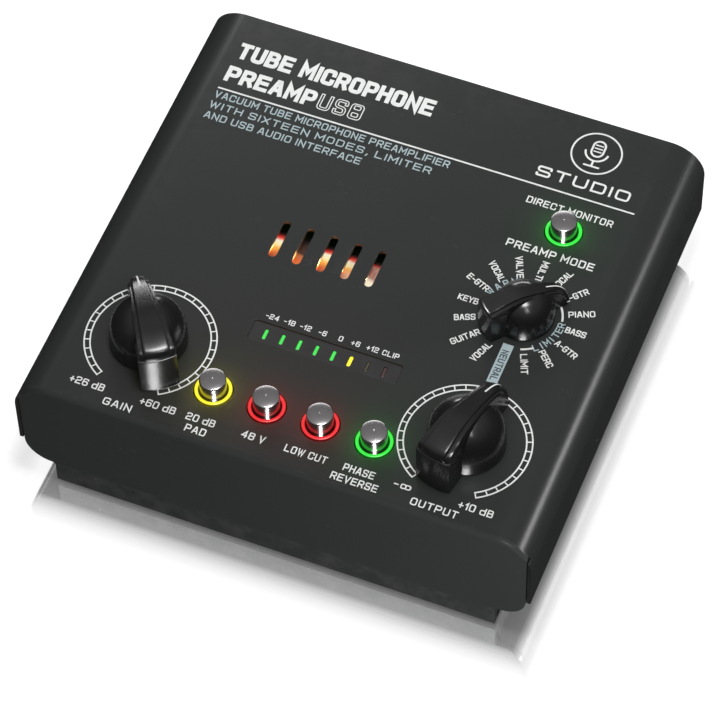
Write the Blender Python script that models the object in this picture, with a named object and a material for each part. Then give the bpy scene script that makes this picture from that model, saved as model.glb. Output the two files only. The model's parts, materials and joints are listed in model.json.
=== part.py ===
"""Desktop valve microphone preamp: bent steel case, three knobs, five lit push switches,
a bar meter, the valve behind its slots, two boards and the rear connectors.
Lengths below are millimetres; everything is scaled to metres when a mesh is made."""
import math
import bpy
import bmesh
from mathutils import Matrix

MM = 0.001

# ---- case
CASE_W = 135.0
CASE_D = 126.7
CASE_Y = -1.6
TOP_Z = 39.8
BASE_Z = 1.5
SHEET = 1.0
CORNER_R = 9.4
COVER_LOW_Z = TOP_Z - 23.7
PANEL_T = 1.5
PANEL_HALF_W = 66.2
STEP_HALF_W = 58.5
STEP_Z = TOP_Z - 31.0
GAP = 0.3
REAR_RECESS = 1.0
FRONT_Y = CASE_Y - CASE_D / 2
BACK_Y = CASE_Y + CASE_D / 2
REAR_FACE_Y = BACK_Y - REAR_RECESS
LOWER_R = 7.0
LOWER_BEND_Z = TOP_Z - 24.0
STEP_BEVEL = 0.9
LIP_Z = TOP_Z - 6.0
PAN_TOP_Z = TOP_Z - 19.0
CUT_Z = (TOP_Z - 4.0, TOP_Z + 3.0)
PANEL_EDGE = ((0.2, 1.0, 0.35), (0.0, 0.9985, 0.9))

# ---- feet and base screws
FOOT_D = 10.0
FOOT_H = 1.2
FOOT_XY = (46.0, 47.0)
SCREW_HEAD_D = 5.2
SCREW_XY = (53.0, 55.0)
SCREW_CORE_R = 1.3
SCREW_END_Z = 7.0
SCREW_HOLE_R = 1.7
CROSS_HALF = (1.5, 0.35)

# ---- rotary controls: x, y from the case middle, size, rest angle clockwise from +Y
GAIN = (-41.2, -39.7, 1.0, -34.5)
OUTPUT = (42.0, -39.85, 1.0, 13.0)
MODE = (41.95, -0.15, 0.745, 42.5)
SHAFT_D = 6.0
SHAFT_BORE_D = 6.6
SHAFT_HOLE_D = 7.8
SHAFT_LOW_Z = TOP_Z - 11.0
POT_HALF = 8.0
POT_Z = (TOP_Z - 12.5, TOP_Z - 6.0)
POT_NECK_R = 4.6
POT_NECK_Z = TOP_Z - 1.4

# knob shapes at size 1: (radius, height) of the dome, (along the pointer, height) of the bar
KNOB_DOME = ((9.6, 0.4), (9.85, 3.0), (9.7, 5.5), (8.9, 8.3), (7.3, 10.6), (4.6, 12.4), (1.2, 13.2))
SMALL_DOME_GROW = 1.07
RIDGE_TOP = ((-15.3, 0.4), (-15.25, 7.0), (-15.15, 12.2), (-14.9, 13.9), (-14.2, 15.1), (-12.6, 15.8),
             (-10.3, 16.1), (-7.5, 16.3), (-4.5, 16.2), (-1.5, 15.6), (2.3, 14.4), (5.5, 13.2),
             (8.8, 11.8), (11.2, 10.6), (13.2, 8.8), (14.9, 6.4), (16.1, 3.4), (16.5, 0.4))
BAR_TOP = ((-15.2, 0.45), (-15.15, 6.0), (-15.05, 12.1), (-14.7, 13.3), (-13.8, 14.3), (-12.3, 14.8),
           (-10.0, 15.0), (-7.4, 15.15), (-4.6, 15.05), (-1.8, 14.5), (1.9, 13.3), (5.1, 12.1),
           (8.3, 10.8), (10.6, 9.7), (12.4, 8.1), (14.0, 5.9), (15.1, 3.2), (15.6, 0.45))
RIDGE_HALF_W = (3.65, 1.45)
BAR_HALF_W = (5.0, 2.75)

# ---- push switches
BUTTONS = (
    ("pad", -20.7, -47.7, (0.95, 0.85, 0.05)),
    ("phantom", -6.7, -47.7, (0.9, 0.05, 0.05)),
    ("low_cut", 7.3, -47.7, (0.9, 0.05, 0.05)),
    ("phase", 21.3, -47.7, (0.1, 0.9, 0.15)),
    ("monitor", 42.3, 27.3, (0.1, 0.9, 0.15)),
)
CAP_D = 6.7
CAP_TOP = 5.0
RING_OD = 9.3
RING_ID = 7.0
RING_PROUD = 0.4
RING_HOLE_D = 9.9
STEM_W = 3.0
CAP_LOW_Z = TOP_Z - 2.0
RING_LOW_Z = TOP_Z - 2.4
SWITCH_HALF = 3.6
SWITCH_Z = (TOP_Z - 12.5, TOP_Z - 6.4)
STEM_LOW_Z = TOP_Z - 7.0
STEM_WELL_Z = TOP_Z - 10.5

# ---- bar meter
METER_XY = (0.35, -27.5)
METER_SIZE = (39.1, 5.8)
METER_SUNK = 0.25
LED_X0 = -15.33
LED_PITCH = 4.47
LED_Y = -27.8
LED_SIZE = (1.15, 3.1)
LED_COUNT = 8
LED_LIT = 6
LED_CLEAR = 0.3
LED_SEAT = (1.3, 2.0)
LED_Z = (TOP_Z - 12.5, TOP_Z - 9.5)
WINDOW_LOW_Z = TOP_Z - 2.2

# ---- valve and its slots
SLOT_X = (-22.9, -16.5, -10.1, -3.7, 2.7)
SLOT_SIZE = (2.1, 11.4)
TUBE_D = 20.0
TUBE_AXIS = (0.05, -13.0)
TUBE_X = (-33.0, 14.0)
TUBE_WALL = 0.9
PIN_COUNT = 9
PIN_CIRCLE_R = 5.0
PIN_R = 0.55
PIN_HOLE_R = 0.95
SOCKET_X = (TUBE_X[0] - 8.5, TUBE_X[0] - 1.2)

# ---- boards
BOARD_T = 1.6
CONTROL_BOARD_Z = TOP_Z - 14.4
MAIN_BOARD_Z = TOP_Z - 36.0
CONTROL_BOARD = ((-60.0, -58.0), (60.0, -58.0), (60.0, 34.0), (26.0, 34.0), (26.0, -14.0),
                 (-60.0, -14.0))
MAIN_BOARD = ((-56.0, 56.0), (-52.0, 54.0))
BOARD_HOLE_R = 6.0

# ---- rear connectors: x, z
XLR_IN = (37.5, TOP_Z - 20.5)
XLR_OUT = (-6.0, TOP_Z - 20.5)
JACK_IN = (15.5, TOP_Z - 22.0)
JACK_OUT = (-27.5, TOP_Z - 22.0)
USB = (-42.6, TOP_Z - 24.0)
DC = (-54.5, TOP_Z - 22.0)
FLANGE = (26.0, 30.0)
BARREL_D = 23.4
LATCH_W = 13.7
LATCH_Z = (12.0, 16.2)
LATCH_PROUD = 3.9
FLANGE_T = 1.8
BARREL_LONG = (22.0, 20.0)
SLEEVE_R = (9.6, 7.6)
CONTACT_HOLE_R = 1.4
CONTACT_XZ = ((-3.3, 2.0), (3.3, 2.0), (0.0, -3.4))
JACK_HALF = (6.5, 6.0)
JACK_LONG = 24.0
JACK_NECK_R = 4.4
JACK_BORE_R = 3.25
JACK_HOLE_R = 4.8
NUT_R = 6.6
NUT_T = (GAP, 2.5)
USB_HALF = (6.0, 5.5)
USB_HOLE = (12.6, 11.6)
USB_LONG = 16.0
DC_NECK_R = 4.2
DC_BORE_R = 3.1
DC_HOLE_R = 4.6

# ---- colours
PAINT = (0.045, 0.048, 0.047)
PANEL_PAINT = (0.042, 0.045, 0.044)
BASE_PAINT = (0.040, 0.042, 0.042)
RUBBER = (0.015, 0.015, 0.015)
BLACK_ZINC = (0.05, 0.05, 0.05)
KNOB_BLACK = (0.012, 0.012, 0.013)
SHAFT_METAL = (0.6, 0.6, 0.58)
POT_METAL = (0.35, 0.36, 0.34)
CAP_METAL = (0.30, 0.29, 0.30)
SWITCH_PLASTIC = (0.55, 0.55, 0.52)
SMOKED = (0.05, 0.045, 0.05)
LED_GREEN = (0.05, 0.9, 0.12)
LED_COLOURS = (LED_GREEN,) * 5 + ((0.95, 0.85, 0.05), (0.4, 0.3, 0.02), (0.25, 0.02, 0.02))
GLASS = (0.85, 0.9, 0.9)
ELECTRODE = (0.18, 0.17, 0.16)
ELECTRODE_GLOW = (0.9, 0.25, 0.03)
CERAMIC = (0.75, 0.73, 0.68)
BOARD_GREEN = (0.02, 0.16, 0.05)
CONNECTOR_BLACK = (0.02, 0.02, 0.02)
LATCH_BLACK = (0.015, 0.015, 0.015)
NICKEL = (0.65, 0.65, 0.63)
USB_STEEL = (0.7, 0.7, 0.68)

for old in list(bpy.data.objects):
    bpy.data.objects.remove(old, do_unlink=True)


# ---------------------------------------------------------------- helpers
def material(name, colour, metallic=0.0, rough=0.5, glow=None):
    mat = bpy.data.materials.new(name)
    mat.use_nodes = True
    node = mat.node_tree.nodes["Principled BSDF"]
    node.inputs["Base Color"].default_value = (colour[0], colour[1], colour[2], 1.0)
    node.inputs["Metallic"].default_value = metallic
    node.inputs["Roughness"].default_value = rough
    if glow:
        node.inputs["Emission Color"].default_value = (glow[0], glow[1], glow[2], 1.0)
        node.inputs["Emission Strength"].default_value = 1.0
    return mat


def add_mesh(name, verts, faces):
    bm = bmesh.new()
    made = [bm.verts.new((v[0] * MM, v[1] * MM, v[2] * MM)) for v in verts]
    for face in faces:
        bm.faces.new([made[i] for i in face])
    bmesh.ops.recalc_face_normals(bm, faces=bm.faces)
    mesh = bpy.data.meshes.new(name)
    bm.to_mesh(mesh)
    bm.free()
    obj = bpy.data.objects.new(name, mesh)
    bpy.context.collection.objects.link(obj)
    return obj


def place(axis, u, v, w):
    """u, v lie in the section; w runs along the axis."""
    if axis == "x":
        return (w, u, v)
    if axis == "y":
        return (u, w, v)
    return (u, v, w)


def loft(name, rings, axis="z"):
    """Closed body through equal-length rings of (u, v), each at its own w."""
    count = len(rings[0][1])
    verts = []
    for w, ring in rings:
        for u, v in ring:
            verts.append(place(axis, u, v, w))
    faces = [list(range(count))]
    for k in range(len(rings) - 1):
        for i in range(count):
            j = (i + 1) % count
            faces.append([k * count + i, k * count + j, (k + 1) * count + j, (k + 1) * count + i])
    faces.append(list(range((len(rings) - 1) * count, len(rings) * count)))
    return add_mesh(name, verts, faces)


def prism(name, outline, w0, w1, axis="z"):
    return loft(name, [(w0, outline), (w1, outline)], axis)


def box(name, x0, x1, y0, y1, z0, z1):
    return prism(name, [(x0, y0), (x1, y0), (x1, y1), (x0, y1)], z0, z1)


def circle(cu, cv, radius, count, start=0.0):
    ring = []
    for i in range(count):
        a = start + 2 * math.pi * i / count
        ring.append((cu + radius * math.cos(a), cv + radius * math.sin(a)))
    return ring


def lathe(name, centre, profile, count, axis="z", start=0.0):
    """profile: (radius, w) from one end to the other, every radius above zero."""
    rings = [(w, circle(centre[0], centre[1], r, count, start)) for r, w in profile]
    return loft(name, rings, axis)


def tube(name, centre, r_out, r_in, w0, w1, count, axis="z"):
    verts = []
    for radius, w in ((r_out, w0), (r_out, w1), (r_in, w1), (r_in, w0)):
        for u, v in circle(centre[0], centre[1], radius, count):
            verts.append(place(axis, u, v, w))
    faces = []
    for k in range(4):
        for i in range(count):
            j = (i + 1) % count
            n = (k + 1) % 4
            faces.append([k * count + i, k * count + j, n * count + j, n * count + i])
    return add_mesh(name, verts, faces)


def rounded(cu, cv, width, height, radius, steps):
    ring = []
    for qu, qv, a0 in ((1, 1, 0), (-1, 1, 90), (-1, -1, 180), (1, -1, 270)):
        for k in range(steps + 1):
            a = math.radians(a0 + 90 * k / steps)
            u = cu + qu * (width / 2 - radius) + radius * math.cos(a)
            v = cv + qv * (height / 2 - radius) + radius * math.sin(a)
            ring.append((u, v))
    return ring


def combine(target, others, kind):
    for other in others:
        other.hide_render = True
        other.display_type = "WIRE"
        mod = target.modifiers.new("combine", "BOOLEAN")
        mod.operation = kind
        mod.solver = "EXACT"
        mod.object = other
        graph = bpy.context.evaluated_depsgraph_get()
        mesh = bpy.data.meshes.new_from_object(target.evaluated_get(graph))
        target.modifiers.remove(mod)
        target.data = mesh
        bpy.data.objects.remove(other, do_unlink=True)
    bm = bmesh.new()
    bm.from_mesh(target.data)
    bmesh.ops.remove_doubles(bm, verts=bm.verts, dist=0.000002)
    bmesh.ops.dissolve_degenerate(bm, edges=bm.edges, dist=0.000002)
    bmesh.ops.recalc_face_normals(bm, faces=bm.faces)
    bm.to_mesh(target.data)
    bm.free()
    target.data.name = target.name
    return target


def cut(target, *cutters):
    return combine(target, cutters, "DIFFERENCE")


def join(target, *others):
    return combine(target, others, "UNION")


def finish(obj, colour, metallic=0.0, rough=0.5, glow=None):
    obj.data.materials.clear()
    obj.data.materials.append(material(obj.name + "_mat", colour, metallic, rough, glow))
    return obj


def origin_at(obj, x, y, z):
    """Puts the object's origin on its joint without moving the mesh."""
    dx, dy, dz = x * MM, y * MM, z * MM
    for vert in obj.data.vertices:
        vert.co.x -= dx
        vert.co.y -= dy
        vert.co.z -= dz
    obj.location = (dx, dy, dz)
    return obj


# ---------------------------------------------------------------- case
def case_arc(cx, cz, radius, a0, a1, steps):
    ring = []
    for k in range(steps + 1):
        a = math.radians(a0 + (a1 - a0) * k / steps)
        ring.append((cx + radius * math.cos(a), cz + radius * math.sin(a)))
    return ring


def mirror_path(path):
    return path + [(-x, z) for x, z in reversed(path)]


def cover_section():
    cx = CASE_W / 2 - CORNER_R
    cz = TOP_Z - CORNER_R
    right = [(CASE_W / 2, COVER_LOW_Z)] + case_arc(cx, cz, CORNER_R, 0, 90, 7)
    inner = [(CASE_W / 2 - SHEET, COVER_LOW_Z)] + case_arc(cx, cz, CORNER_R - SHEET, 0, 90, 7)
    outer_path = mirror_path(right)
    inner_path = mirror_path(inner)
    return outer_path + list(reversed(inner_path))


def lower_side(half_w, grow):
    """Right-hand lower edge from the side wall down to the bottom; grow moves it inwards."""
    low = STEP_Z + grow
    points = case_arc(half_w - grow - LOWER_R, LOWER_BEND_Z, LOWER_R, 0, -82, 6)
    points += [(STEP_HALF_W + STEP_BEVEL - grow, low), (STEP_HALF_W - grow, low - STEP_BEVEL)]
    points.append((STEP_HALF_W - grow, BASE_Z + grow))
    return points


def front_outline():
    cx = CASE_W / 2 - CORNER_R
    cz = TOP_Z - CORNER_R
    right = []
    for x, z in case_arc(cx, cz, CORNER_R, 90, 0, 14):
        if x < PANEL_HALF_W - 0.02:
            right.append((x, z))
    bend = math.acos((PANEL_HALF_W - cx) / CORNER_R)
    right.append((PANEL_HALF_W, cz + CORNER_R * math.sin(bend)))
    right += lower_side(PANEL_HALF_W, 0.0)
    return [(-x, z) for x, z in reversed(right)] + right


def make_top_cover():
    cover = prism("top_cover", cover_section(), FRONT_Y, BACK_Y, "y")
    back = FRONT_Y + PANEL_T + GAP
    lip_x = PANEL_HALF_W + GAP
    far = CASE_W
    notch = [(-lip_x, 0.0), (lip_x, 0.0), (lip_x, LIP_Z), (far, LIP_Z), (far, far),
             (-far, far), (-far, LIP_Z), (-lip_x, LIP_Z)]
    tools = [prism("tool", notch, FRONT_Y - 5.0, back, "y")]
    z0, z1 = CUT_Z
    for x, y, size, angle in (GAIN, OUTPUT, MODE):
        tools.append(prism("tool", circle(x, y + CASE_Y, SHAFT_HOLE_D / 2, 20), z0, z1))
    for name, x, y, colour in BUTTONS:
        tools.append(prism("tool", circle(x, y + CASE_Y, RING_HOLE_D / 2, 20), z0, z1))
    for x in SLOT_X:
        ring = rounded(x, CASE_Y, SLOT_SIZE[0], SLOT_SIZE[1], SLOT_SIZE[0] / 2 - 0.01, 4)
        tools.append(prism("tool", ring, z0, z1))
    mx, my = METER_XY
    ring = rounded(mx, my + CASE_Y, METER_SIZE[0], METER_SIZE[1], 0.8, 3)
    tools.append(prism("tool", ring, z0, z1))
    cut(cover, *tools)
    return finish(cover, PAINT, 0.0, 0.42)


def make_front_panel():
    outline = front_outline()
    rings = [(FRONT_Y + PANEL_T, outline), (FRONT_Y + PANEL_T / 2, outline)]
    for depth, share, drop in PANEL_EDGE:
        rings.append((FRONT_Y + depth, [(x * share, min(z, TOP_Z - drop)) for x, z in outline]))
    panel = loft("front_panel", rings, "y")
    return finish(panel, PANEL_PAINT, 0.0, 0.45)


def make_rear_panel():
    cx = CASE_W / 2 - CORNER_R
    cz = TOP_Z - CORNER_R
    radius = CORNER_R - SHEET - GAP
    right = case_arc(cx, cz, radius, 90, 0, 6) + lower_side(PANEL_HALF_W, 0.0)
    outline = [(-x, z) for x, z in reversed(right)] + right
    panel = prism("rear_panel", outline, REAR_FACE_Y - PANEL_T, REAR_FACE_Y, "y")
    y0 = REAR_FACE_Y - PANEL_T - 3.0
    y1 = REAR_FACE_Y + 3.0
    tools = []
    for x, z in (XLR_IN, XLR_OUT):
        tools.append(prism("tool", circle(x, z, BARREL_D / 2 + GAP, 24), y0, y1, "y"))
    for x, z in (JACK_IN, JACK_OUT):
        tools.append(prism("tool", circle(x, z, JACK_HOLE_R, 16), y0, y1, "y"))
    tools.append(prism("tool", rounded(USB[0], USB[1], USB_HOLE[0], USB_HOLE[1], 0.5, 2), y0, y1, "y"))
    tools.append(prism("tool", circle(DC[0], DC[1], DC_HOLE_R, 16), y0, y1, "y"))
    cut(panel, *tools)
    return finish(panel, PANEL_PAINT, 0.0, 0.45)


def make_base_pan():
    outer = [(PANEL_HALF_W, PAN_TOP_Z)] + lower_side(PANEL_HALF_W, 0.0)
    inner = [(PANEL_HALF_W - SHEET, PAN_TOP_Z)] + lower_side(PANEL_HALF_W, SHEET)
    section = mirror_path(outer) + list(reversed(mirror_path(inner)))
    y0 = FRONT_Y + PANEL_T + GAP
    y1 = REAR_FACE_Y - PANEL_T - GAP
    pan = prism("base_pan", section, y0, y1, "y")
    tools = []
    for sx in (-1, 1):
        for sy in (-1, 1):
            ring = circle(sx * SCREW_XY[0], CASE_Y + sy * SCREW_XY[1], SCREW_HOLE_R, 14)
            tools.append(prism("tool", ring, BASE_Z - 2.0, BASE_Z + 3.0))
    cut(pan, *tools)
    return finish(pan, BASE_PAINT, 0.0, 0.5)


def make_feet_and_screws():
    number = 0
    for sx in (-1, 1):
        for sy in (-1, 1):
            number += 1
            centre = (sx * FOOT_XY[0], CASE_Y + sy * FOOT_XY[1])
            half = FOOT_D / 2
            profile = [(half - 0.5, 0.0), (half, 0.4), (half, FOOT_H)]
            foot = lathe("foot_%d" % number, centre, profile, 20)
            finish(foot, RUBBER, 0.0, 0.8)
            centre = (sx * SCREW_XY[0], CASE_Y + sy * SCREW_XY[1])
            half = SCREW_HEAD_D / 2
            top = BASE_Z - GAP
            profile = [(half - 0.6, top - 0.9), (half, top - 0.35), (half, top), (SCREW_CORE_R, top),
                       (SCREW_CORE_R, SCREW_END_Z)]
            screw = lathe("base_screw_%d" % number, centre, profile, 12)
            x, y = centre
            a, b = CROSS_HALF
            bar_a = box("tool", x - a, x + a, y - b, y + b, top - 2.0, top - 0.35)
            bar_b = box("tool", x - b, x + b, y - a, y + a, top - 2.0, top - 0.35)
            cut(screw, join(bar_a, bar_b))
            finish(screw, BLACK_ZINC, 0.9, 0.4)


# ---------------------------------------------------------------- rotary controls
def half_width(spec, u):
    """Half the bar's width at u, counted along the pointer from the shaft."""
    wide, narrow = spec
    share = (u - RIDGE_TOP[0][0]) / (RIDGE_TOP[-1][0] - RIDGE_TOP[0][0])
    return wide + (narrow - wide) * share


def wedge(name, profile, widths):
    """Closed bar with this (u, height) profile and flat sides that close up towards the tip."""
    count = len(profile)
    verts = []
    for side in (-1, 1):
        for u, h in profile:
            verts.append((side * half_width(widths, u), u, h))
    faces = [list(range(count)), list(range(2 * count - 1, count - 1, -1))]
    for i in range(count):
        j = (i + 1) % count
        faces.append([i, j, count + j, count + i])
    return add_mesh(name, verts, faces)


def make_knob(name, spec):
    """Dome with a raised pointer bar over it: a wide body and a narrower, taller ridge."""
    x, y, size, angle = spec
    grow = SMALL_DOME_GROW if size < 1.0 else 1.0
    body = lathe(name, (0.0, 0.0), [(r * grow, h) for r, h in KNOB_DOME], 28)
    join(body, wedge("bar", BAR_TOP, BAR_HALF_W))
    join(body, wedge("ridge", RIDGE_TOP, RIDGE_HALF_W))
    low = KNOB_DOME[0][1] * MM
    for vert in body.data.vertices:
        vert.co.x *= size
        vert.co.y *= size
        vert.co.z = low + (vert.co.z - low) * size
    cut(body, prism("tool", circle(0.0, 0.0, SHAFT_BORE_D / 2, 16), -3.0, shaft_top(size) + GAP))
    turn = Matrix.Translation((x * MM, (y + CASE_Y) * MM, TOP_Z * MM))
    turn = turn @ Matrix.Rotation(math.radians(-angle), 4, "Z")
    body.data.transform(turn)
    origin_at(body, x, y + CASE_Y, TOP_Z)
    return finish(body, KNOB_BLACK, 0.0, 0.16)


def shaft_top(size):
    return 8.0 * size + 0.6


def make_rotary(name, spec):
    x, y, size, angle = spec
    y += CASE_Y
    make_knob(name + "_knob", spec)
    top = TOP_Z + shaft_top(size)
    shaft = lathe(name + "_shaft", (x, y), [(SHAFT_D / 2, SHAFT_LOW_Z), (SHAFT_D / 2, top - 0.4),
                                           (SHAFT_D / 2 - 0.4, top)], 16)
    origin_at(shaft, x, y, TOP_Z)
    finish(shaft, SHAFT_METAL, 0.9, 0.35)
    low, high = POT_Z
    pot = box(name + "_pot", x - POT_HALF, x + POT_HALF, y - POT_HALF, y + POT_HALF, low, high)
    join(pot, prism("neck", circle(x, y, POT_NECK_R, 16), high - 1.0, POT_NECK_Z))
    cut(pot, prism("tool", circle(x, y, SHAFT_BORE_D / 2, 16), SHAFT_LOW_Z - 0.4, TOP_Z))
    finish(pot, POT_METAL, 0.8, 0.4)


# ---------------------------------------------------------------- push switches
def make_button(name, x, y, colour):
    y += CASE_Y
    half = CAP_D / 2
    top = TOP_Z + CAP_TOP
    profile = [(half, CAP_LOW_Z), (half, top - 0.5), (half - 0.4, top - 0.12), (0.6, top)]
    cap = lathe(name + "_button", (x, y), profile, 24)
    w = STEM_W / 2
    join(cap, box("stem", x - w, x + w, y - w, y + w, STEM_LOW_Z, CAP_LOW_Z + 0.5))
    origin_at(cap, x, y, TOP_Z)
    finish(cap, CAP_METAL, 0.9, 0.3)
    ring = tube(name + "_ring", (x, y), RING_OD / 2, RING_ID / 2, RING_LOW_Z, TOP_Z + RING_PROUD, 24)
    finish(ring, colour, 0.0, 0.3, colour)
    low, high = SWITCH_Z
    h = SWITCH_HALF
    switch = box(name + "_switch", x - h, x + h, y - h, y + h, low, high)
    w += GAP
    cut(switch, box("tool", x - w, x + w, y - w, y + w, STEM_WELL_Z, TOP_Z))
    finish(switch, SWITCH_PLASTIC, 0.0, 0.5)


# ---------------------------------------------------------------- meter
def make_meter():
    mx, my = METER_XY
    my += CASE_Y
    ring = rounded(mx, my, METER_SIZE[0] - 2 * GAP, METER_SIZE[1] - 2 * GAP, 0.6, 3)
    window = prism("meter_window", ring, WINDOW_LOW_Z, TOP_Z - METER_SUNK)
    y = LED_Y + CASE_Y
    tools = []
    for i in range(LED_COUNT):
        x = LED_X0 + LED_PITCH * i
        ring = rounded(x, y, LED_SIZE[0] + 2 * LED_CLEAR, LED_SIZE[1] + 2 * LED_CLEAR, 0.4, 1)
        tools.append(prism("tool", ring, WINDOW_LOW_Z - 1.0, TOP_Z + 1.0))
    cut(window, *tools)
    finish(window, SMOKED, 0.0, 0.15)
    a, b = LED_SEAT
    for i in range(LED_COUNT):
        x = LED_X0 + LED_PITCH * i
        ring = rounded(x, y, LED_SIZE[0], LED_SIZE[1], 0.4, 1)
        led = prism("meter_led_%d" % (i + 1), ring, LED_Z[1], TOP_Z - METER_SUNK - 0.1)
        join(led, box("seat", x - a, x + a, y - b, y + b, LED_Z[0], LED_Z[1] + 1.5))
        glow = LED_COLOURS[i] if i < LED_LIT else None
        finish(led, LED_COLOURS[i], 0.0, 0.3, glow)


# ---------------------------------------------------------------- valve
def make_valve():
    cy, cz = TUBE_AXIS
    cy += CASE_Y
    cz += TOP_Z
    x0, x1 = TUBE_X
    r = TUBE_D / 2
    outer = [(r, x0), (r, x1 - 8.0), (r - 1.2, x1 - 4.5), (r - 4.0, x1 - 1.8), (r - 7.0, x1 - 0.5),
             (1.2, x1)]
    glass = lathe("valve_glass", (cy, cz), outer, 20, "x")
    bore = r - TUBE_WALL
    inner = [(bore, x0 - 3.0), (bore, x1 - 8.2), (bore - 1.2, x1 - 5.0), (bore - 3.9, x1 - 2.7),
             (1.0, x1 - 1.4)]
    cut(glass, lathe("tool", (cy, cz), inner, 20, "x"))
    finish(glass, GLASS, 0.0, 0.03)
    plate = lathe("valve_electrodes", (cy, cz), [(r - 1.4, x0 - 0.6), (r - 1.4, x0 + 1.6)], 16, "x")
    hub = rounded(cy, cz, 10.0, 7.0, 2.0, 3)
    join(plate, prism("anode", hub, x0 + 1.0, x1 - 11.0, "x"))
    for w in (x0 + 6.0, x1 - 13.0):
        join(plate, prism("mica", circle(cy, cz, r - 1.6, 14), w, w + 0.6, "x"))
    for u, v in pin_places(cy, cz):
        join(plate, prism("pin", circle(u, v, PIN_R, 6), x0 - 5.0, x0 - 0.2, "x"))
    finish(plate, ELECTRODE, 0.7, 0.5, ELECTRODE_GLOW)
    socket = lathe("valve_socket", (cy, cz), [(r, SOCKET_X[0]), (r, SOCKET_X[1])], 20, "x")
    foot = box("leg", SOCKET_X[0] + 0.5, x0 - 3.0, cy - 8.0, cy + 8.0, MAIN_BOARD_Z + BOARD_T + GAP, cz)
    join(socket, foot)
    tools = []
    for u, v in pin_places(cy, cz):
        tools.append(prism("tool", circle(u, v, PIN_HOLE_R, 6), x0 - 5.6, x0 + 2.0, "x"))
    cut(socket, *tools)
    finish(socket, CERAMIC, 0.0, 0.4)


def pin_places(cu, cv):
    """Nine pins on a ten-place circle, as on a small valve base."""
    places = []
    for k in range(PIN_COUNT):
        a = math.radians(18 + 36 * k)
        places.append((cu + PIN_CIRCLE_R * math.cos(a), cv + PIN_CIRCLE_R * math.sin(a)))
    return places


# ---------------------------------------------------------------- boards
def make_boards():
    z = CONTROL_BOARD_Z
    control = prism("control_board", CONTROL_BOARD, z, z + BOARD_T)
    finish(control, BOARD_GREEN, 0.0, 0.4)
    z = MAIN_BOARD_Z
    (x0, x1), (y0, y1) = MAIN_BOARD
    main = box("main_board", x0, x1, y0, y1, z, z + BOARD_T)
    tools = []
    for sx in (-1, 1):
        for sy in (-1, 1):
            ring = circle(sx * SCREW_XY[0], CASE_Y + sy * SCREW_XY[1], BOARD_HOLE_R, 12)
            tools.append(prism("tool", ring, z - 3.0, z + 5.0))
    cut(main, *tools)
    finish(main, BOARD_GREEN, 0.0, 0.4)


# ---------------------------------------------------------------- rear connectors
def make_xlr_in():
    x, z = XLR_IN
    y0 = REAR_FACE_Y + GAP
    ring = rounded(x, z, FLANGE[0], FLANGE[1], 3.0, 4)
    shell = prism("input_xlr_shell", ring, y0, y0 + FLANGE_T, "y")
    join(shell, prism("barrel", circle(x, z, BARREL_D / 2, 24), y0 - BARREL_LONG[0], y0 + 0.9, "y"))
    tools = [tube("tool", (x, z), SLEEVE_R[0], SLEEVE_R[1], y0 - 15.0, y0 + 6.0, 24, "y")]
    for px, pz in CONTACT_XZ:
        tools.append(prism("tool", circle(x + px, z + pz, CONTACT_HOLE_R, 10), y0 - 14.0, y0 + 6.0, "y"))
    half = LATCH_W / 2 + GAP
    tools.append(box("tool", x - half, x + half, y0 - 1.2, y0 + 6.0, z + 9.8, z + 18.0))
    cut(shell, *tools)
    finish(shell, CONNECTOR_BLACK, 0.0, 0.35)
    half = LATCH_W / 2
    low, high = LATCH_Z
    latch = box("input_xlr_latch", x - half, x + half, y0, y0 + LATCH_PROUD, z + low, z + high)
    lip = prism("tool", [(y0 + 2.2, z + 20.0), (y0 + 8.0, z + 20.0), (y0 + 8.0, z + 13.4)],
                x - 20.0, x + 20.0, "x")
    cut(latch, lip)
    origin_at(latch, x, y0, z + 14.0)
    finish(latch, LATCH_BLACK, 0.0, 0.4)


def make_xlr_out():
    x, z = XLR_OUT
    y0 = REAR_FACE_Y + GAP
    ring = rounded(x, z, FLANGE[0], FLANGE[1], 3.0, 4)
    shell = prism("output_xlr_shell", ring, y0, y0 + FLANGE_T, "y")
    join(shell, prism("barrel", circle(x, z, BARREL_D / 2, 24), y0 - BARREL_LONG[1], y0 + 0.9, "y"))
    cut(shell, prism("tool", circle(x, z, SLEEVE_R[0], 24), y0 - 18.0, y0 + 6.0, "y"))
    finish(shell, CONNECTOR_BLACK, 0.0, 0.35)
    core = prism("output_xlr_pins", circle(x, z, SLEEVE_R[0] - 0.4, 24), y0 - 17.6, y0 - 15.0, "y")
    for px, pz in CONTACT_XZ:
        profile = [(1.2, y0 - 16.0), (1.2, y0 - 5.0), (0.7, y0 - 4.2)]
        join(core, lathe("pin", (x + px, z - pz), profile, 8, "y"))
    finish(core, CERAMIC, 0.6, 0.3)


def make_jack(name, x, z):
    y0 = REAR_FACE_Y
    back = y0 - PANEL_T - 0.5
    a, b = JACK_HALF
    jack = box(name + "_jack", x - a, x + a, back - JACK_LONG, back, z - b, z + b)
    join(jack, prism("nose", circle(x, z, JACK_NECK_R, 20), back - 1.5, y0 + 3.6, "y"))
    cut(jack, prism("tool", circle(x, z, JACK_BORE_R, 20), back - 20.0, y0 + 8.0, "y"))
    finish(jack, CONNECTOR_BLACK, 0.0, 0.4)
    nut = prism(name + "_nut", circle(x, z, NUT_R, 6), y0 + NUT_T[0], y0 + NUT_T[1], "y")
    cut(nut, prism("tool", circle(x, z, JACK_NECK_R + GAP, 20), y0 - 3.0, y0 + 6.0, "y"))
    finish(nut, NICKEL, 1.0, 0.3)


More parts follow.
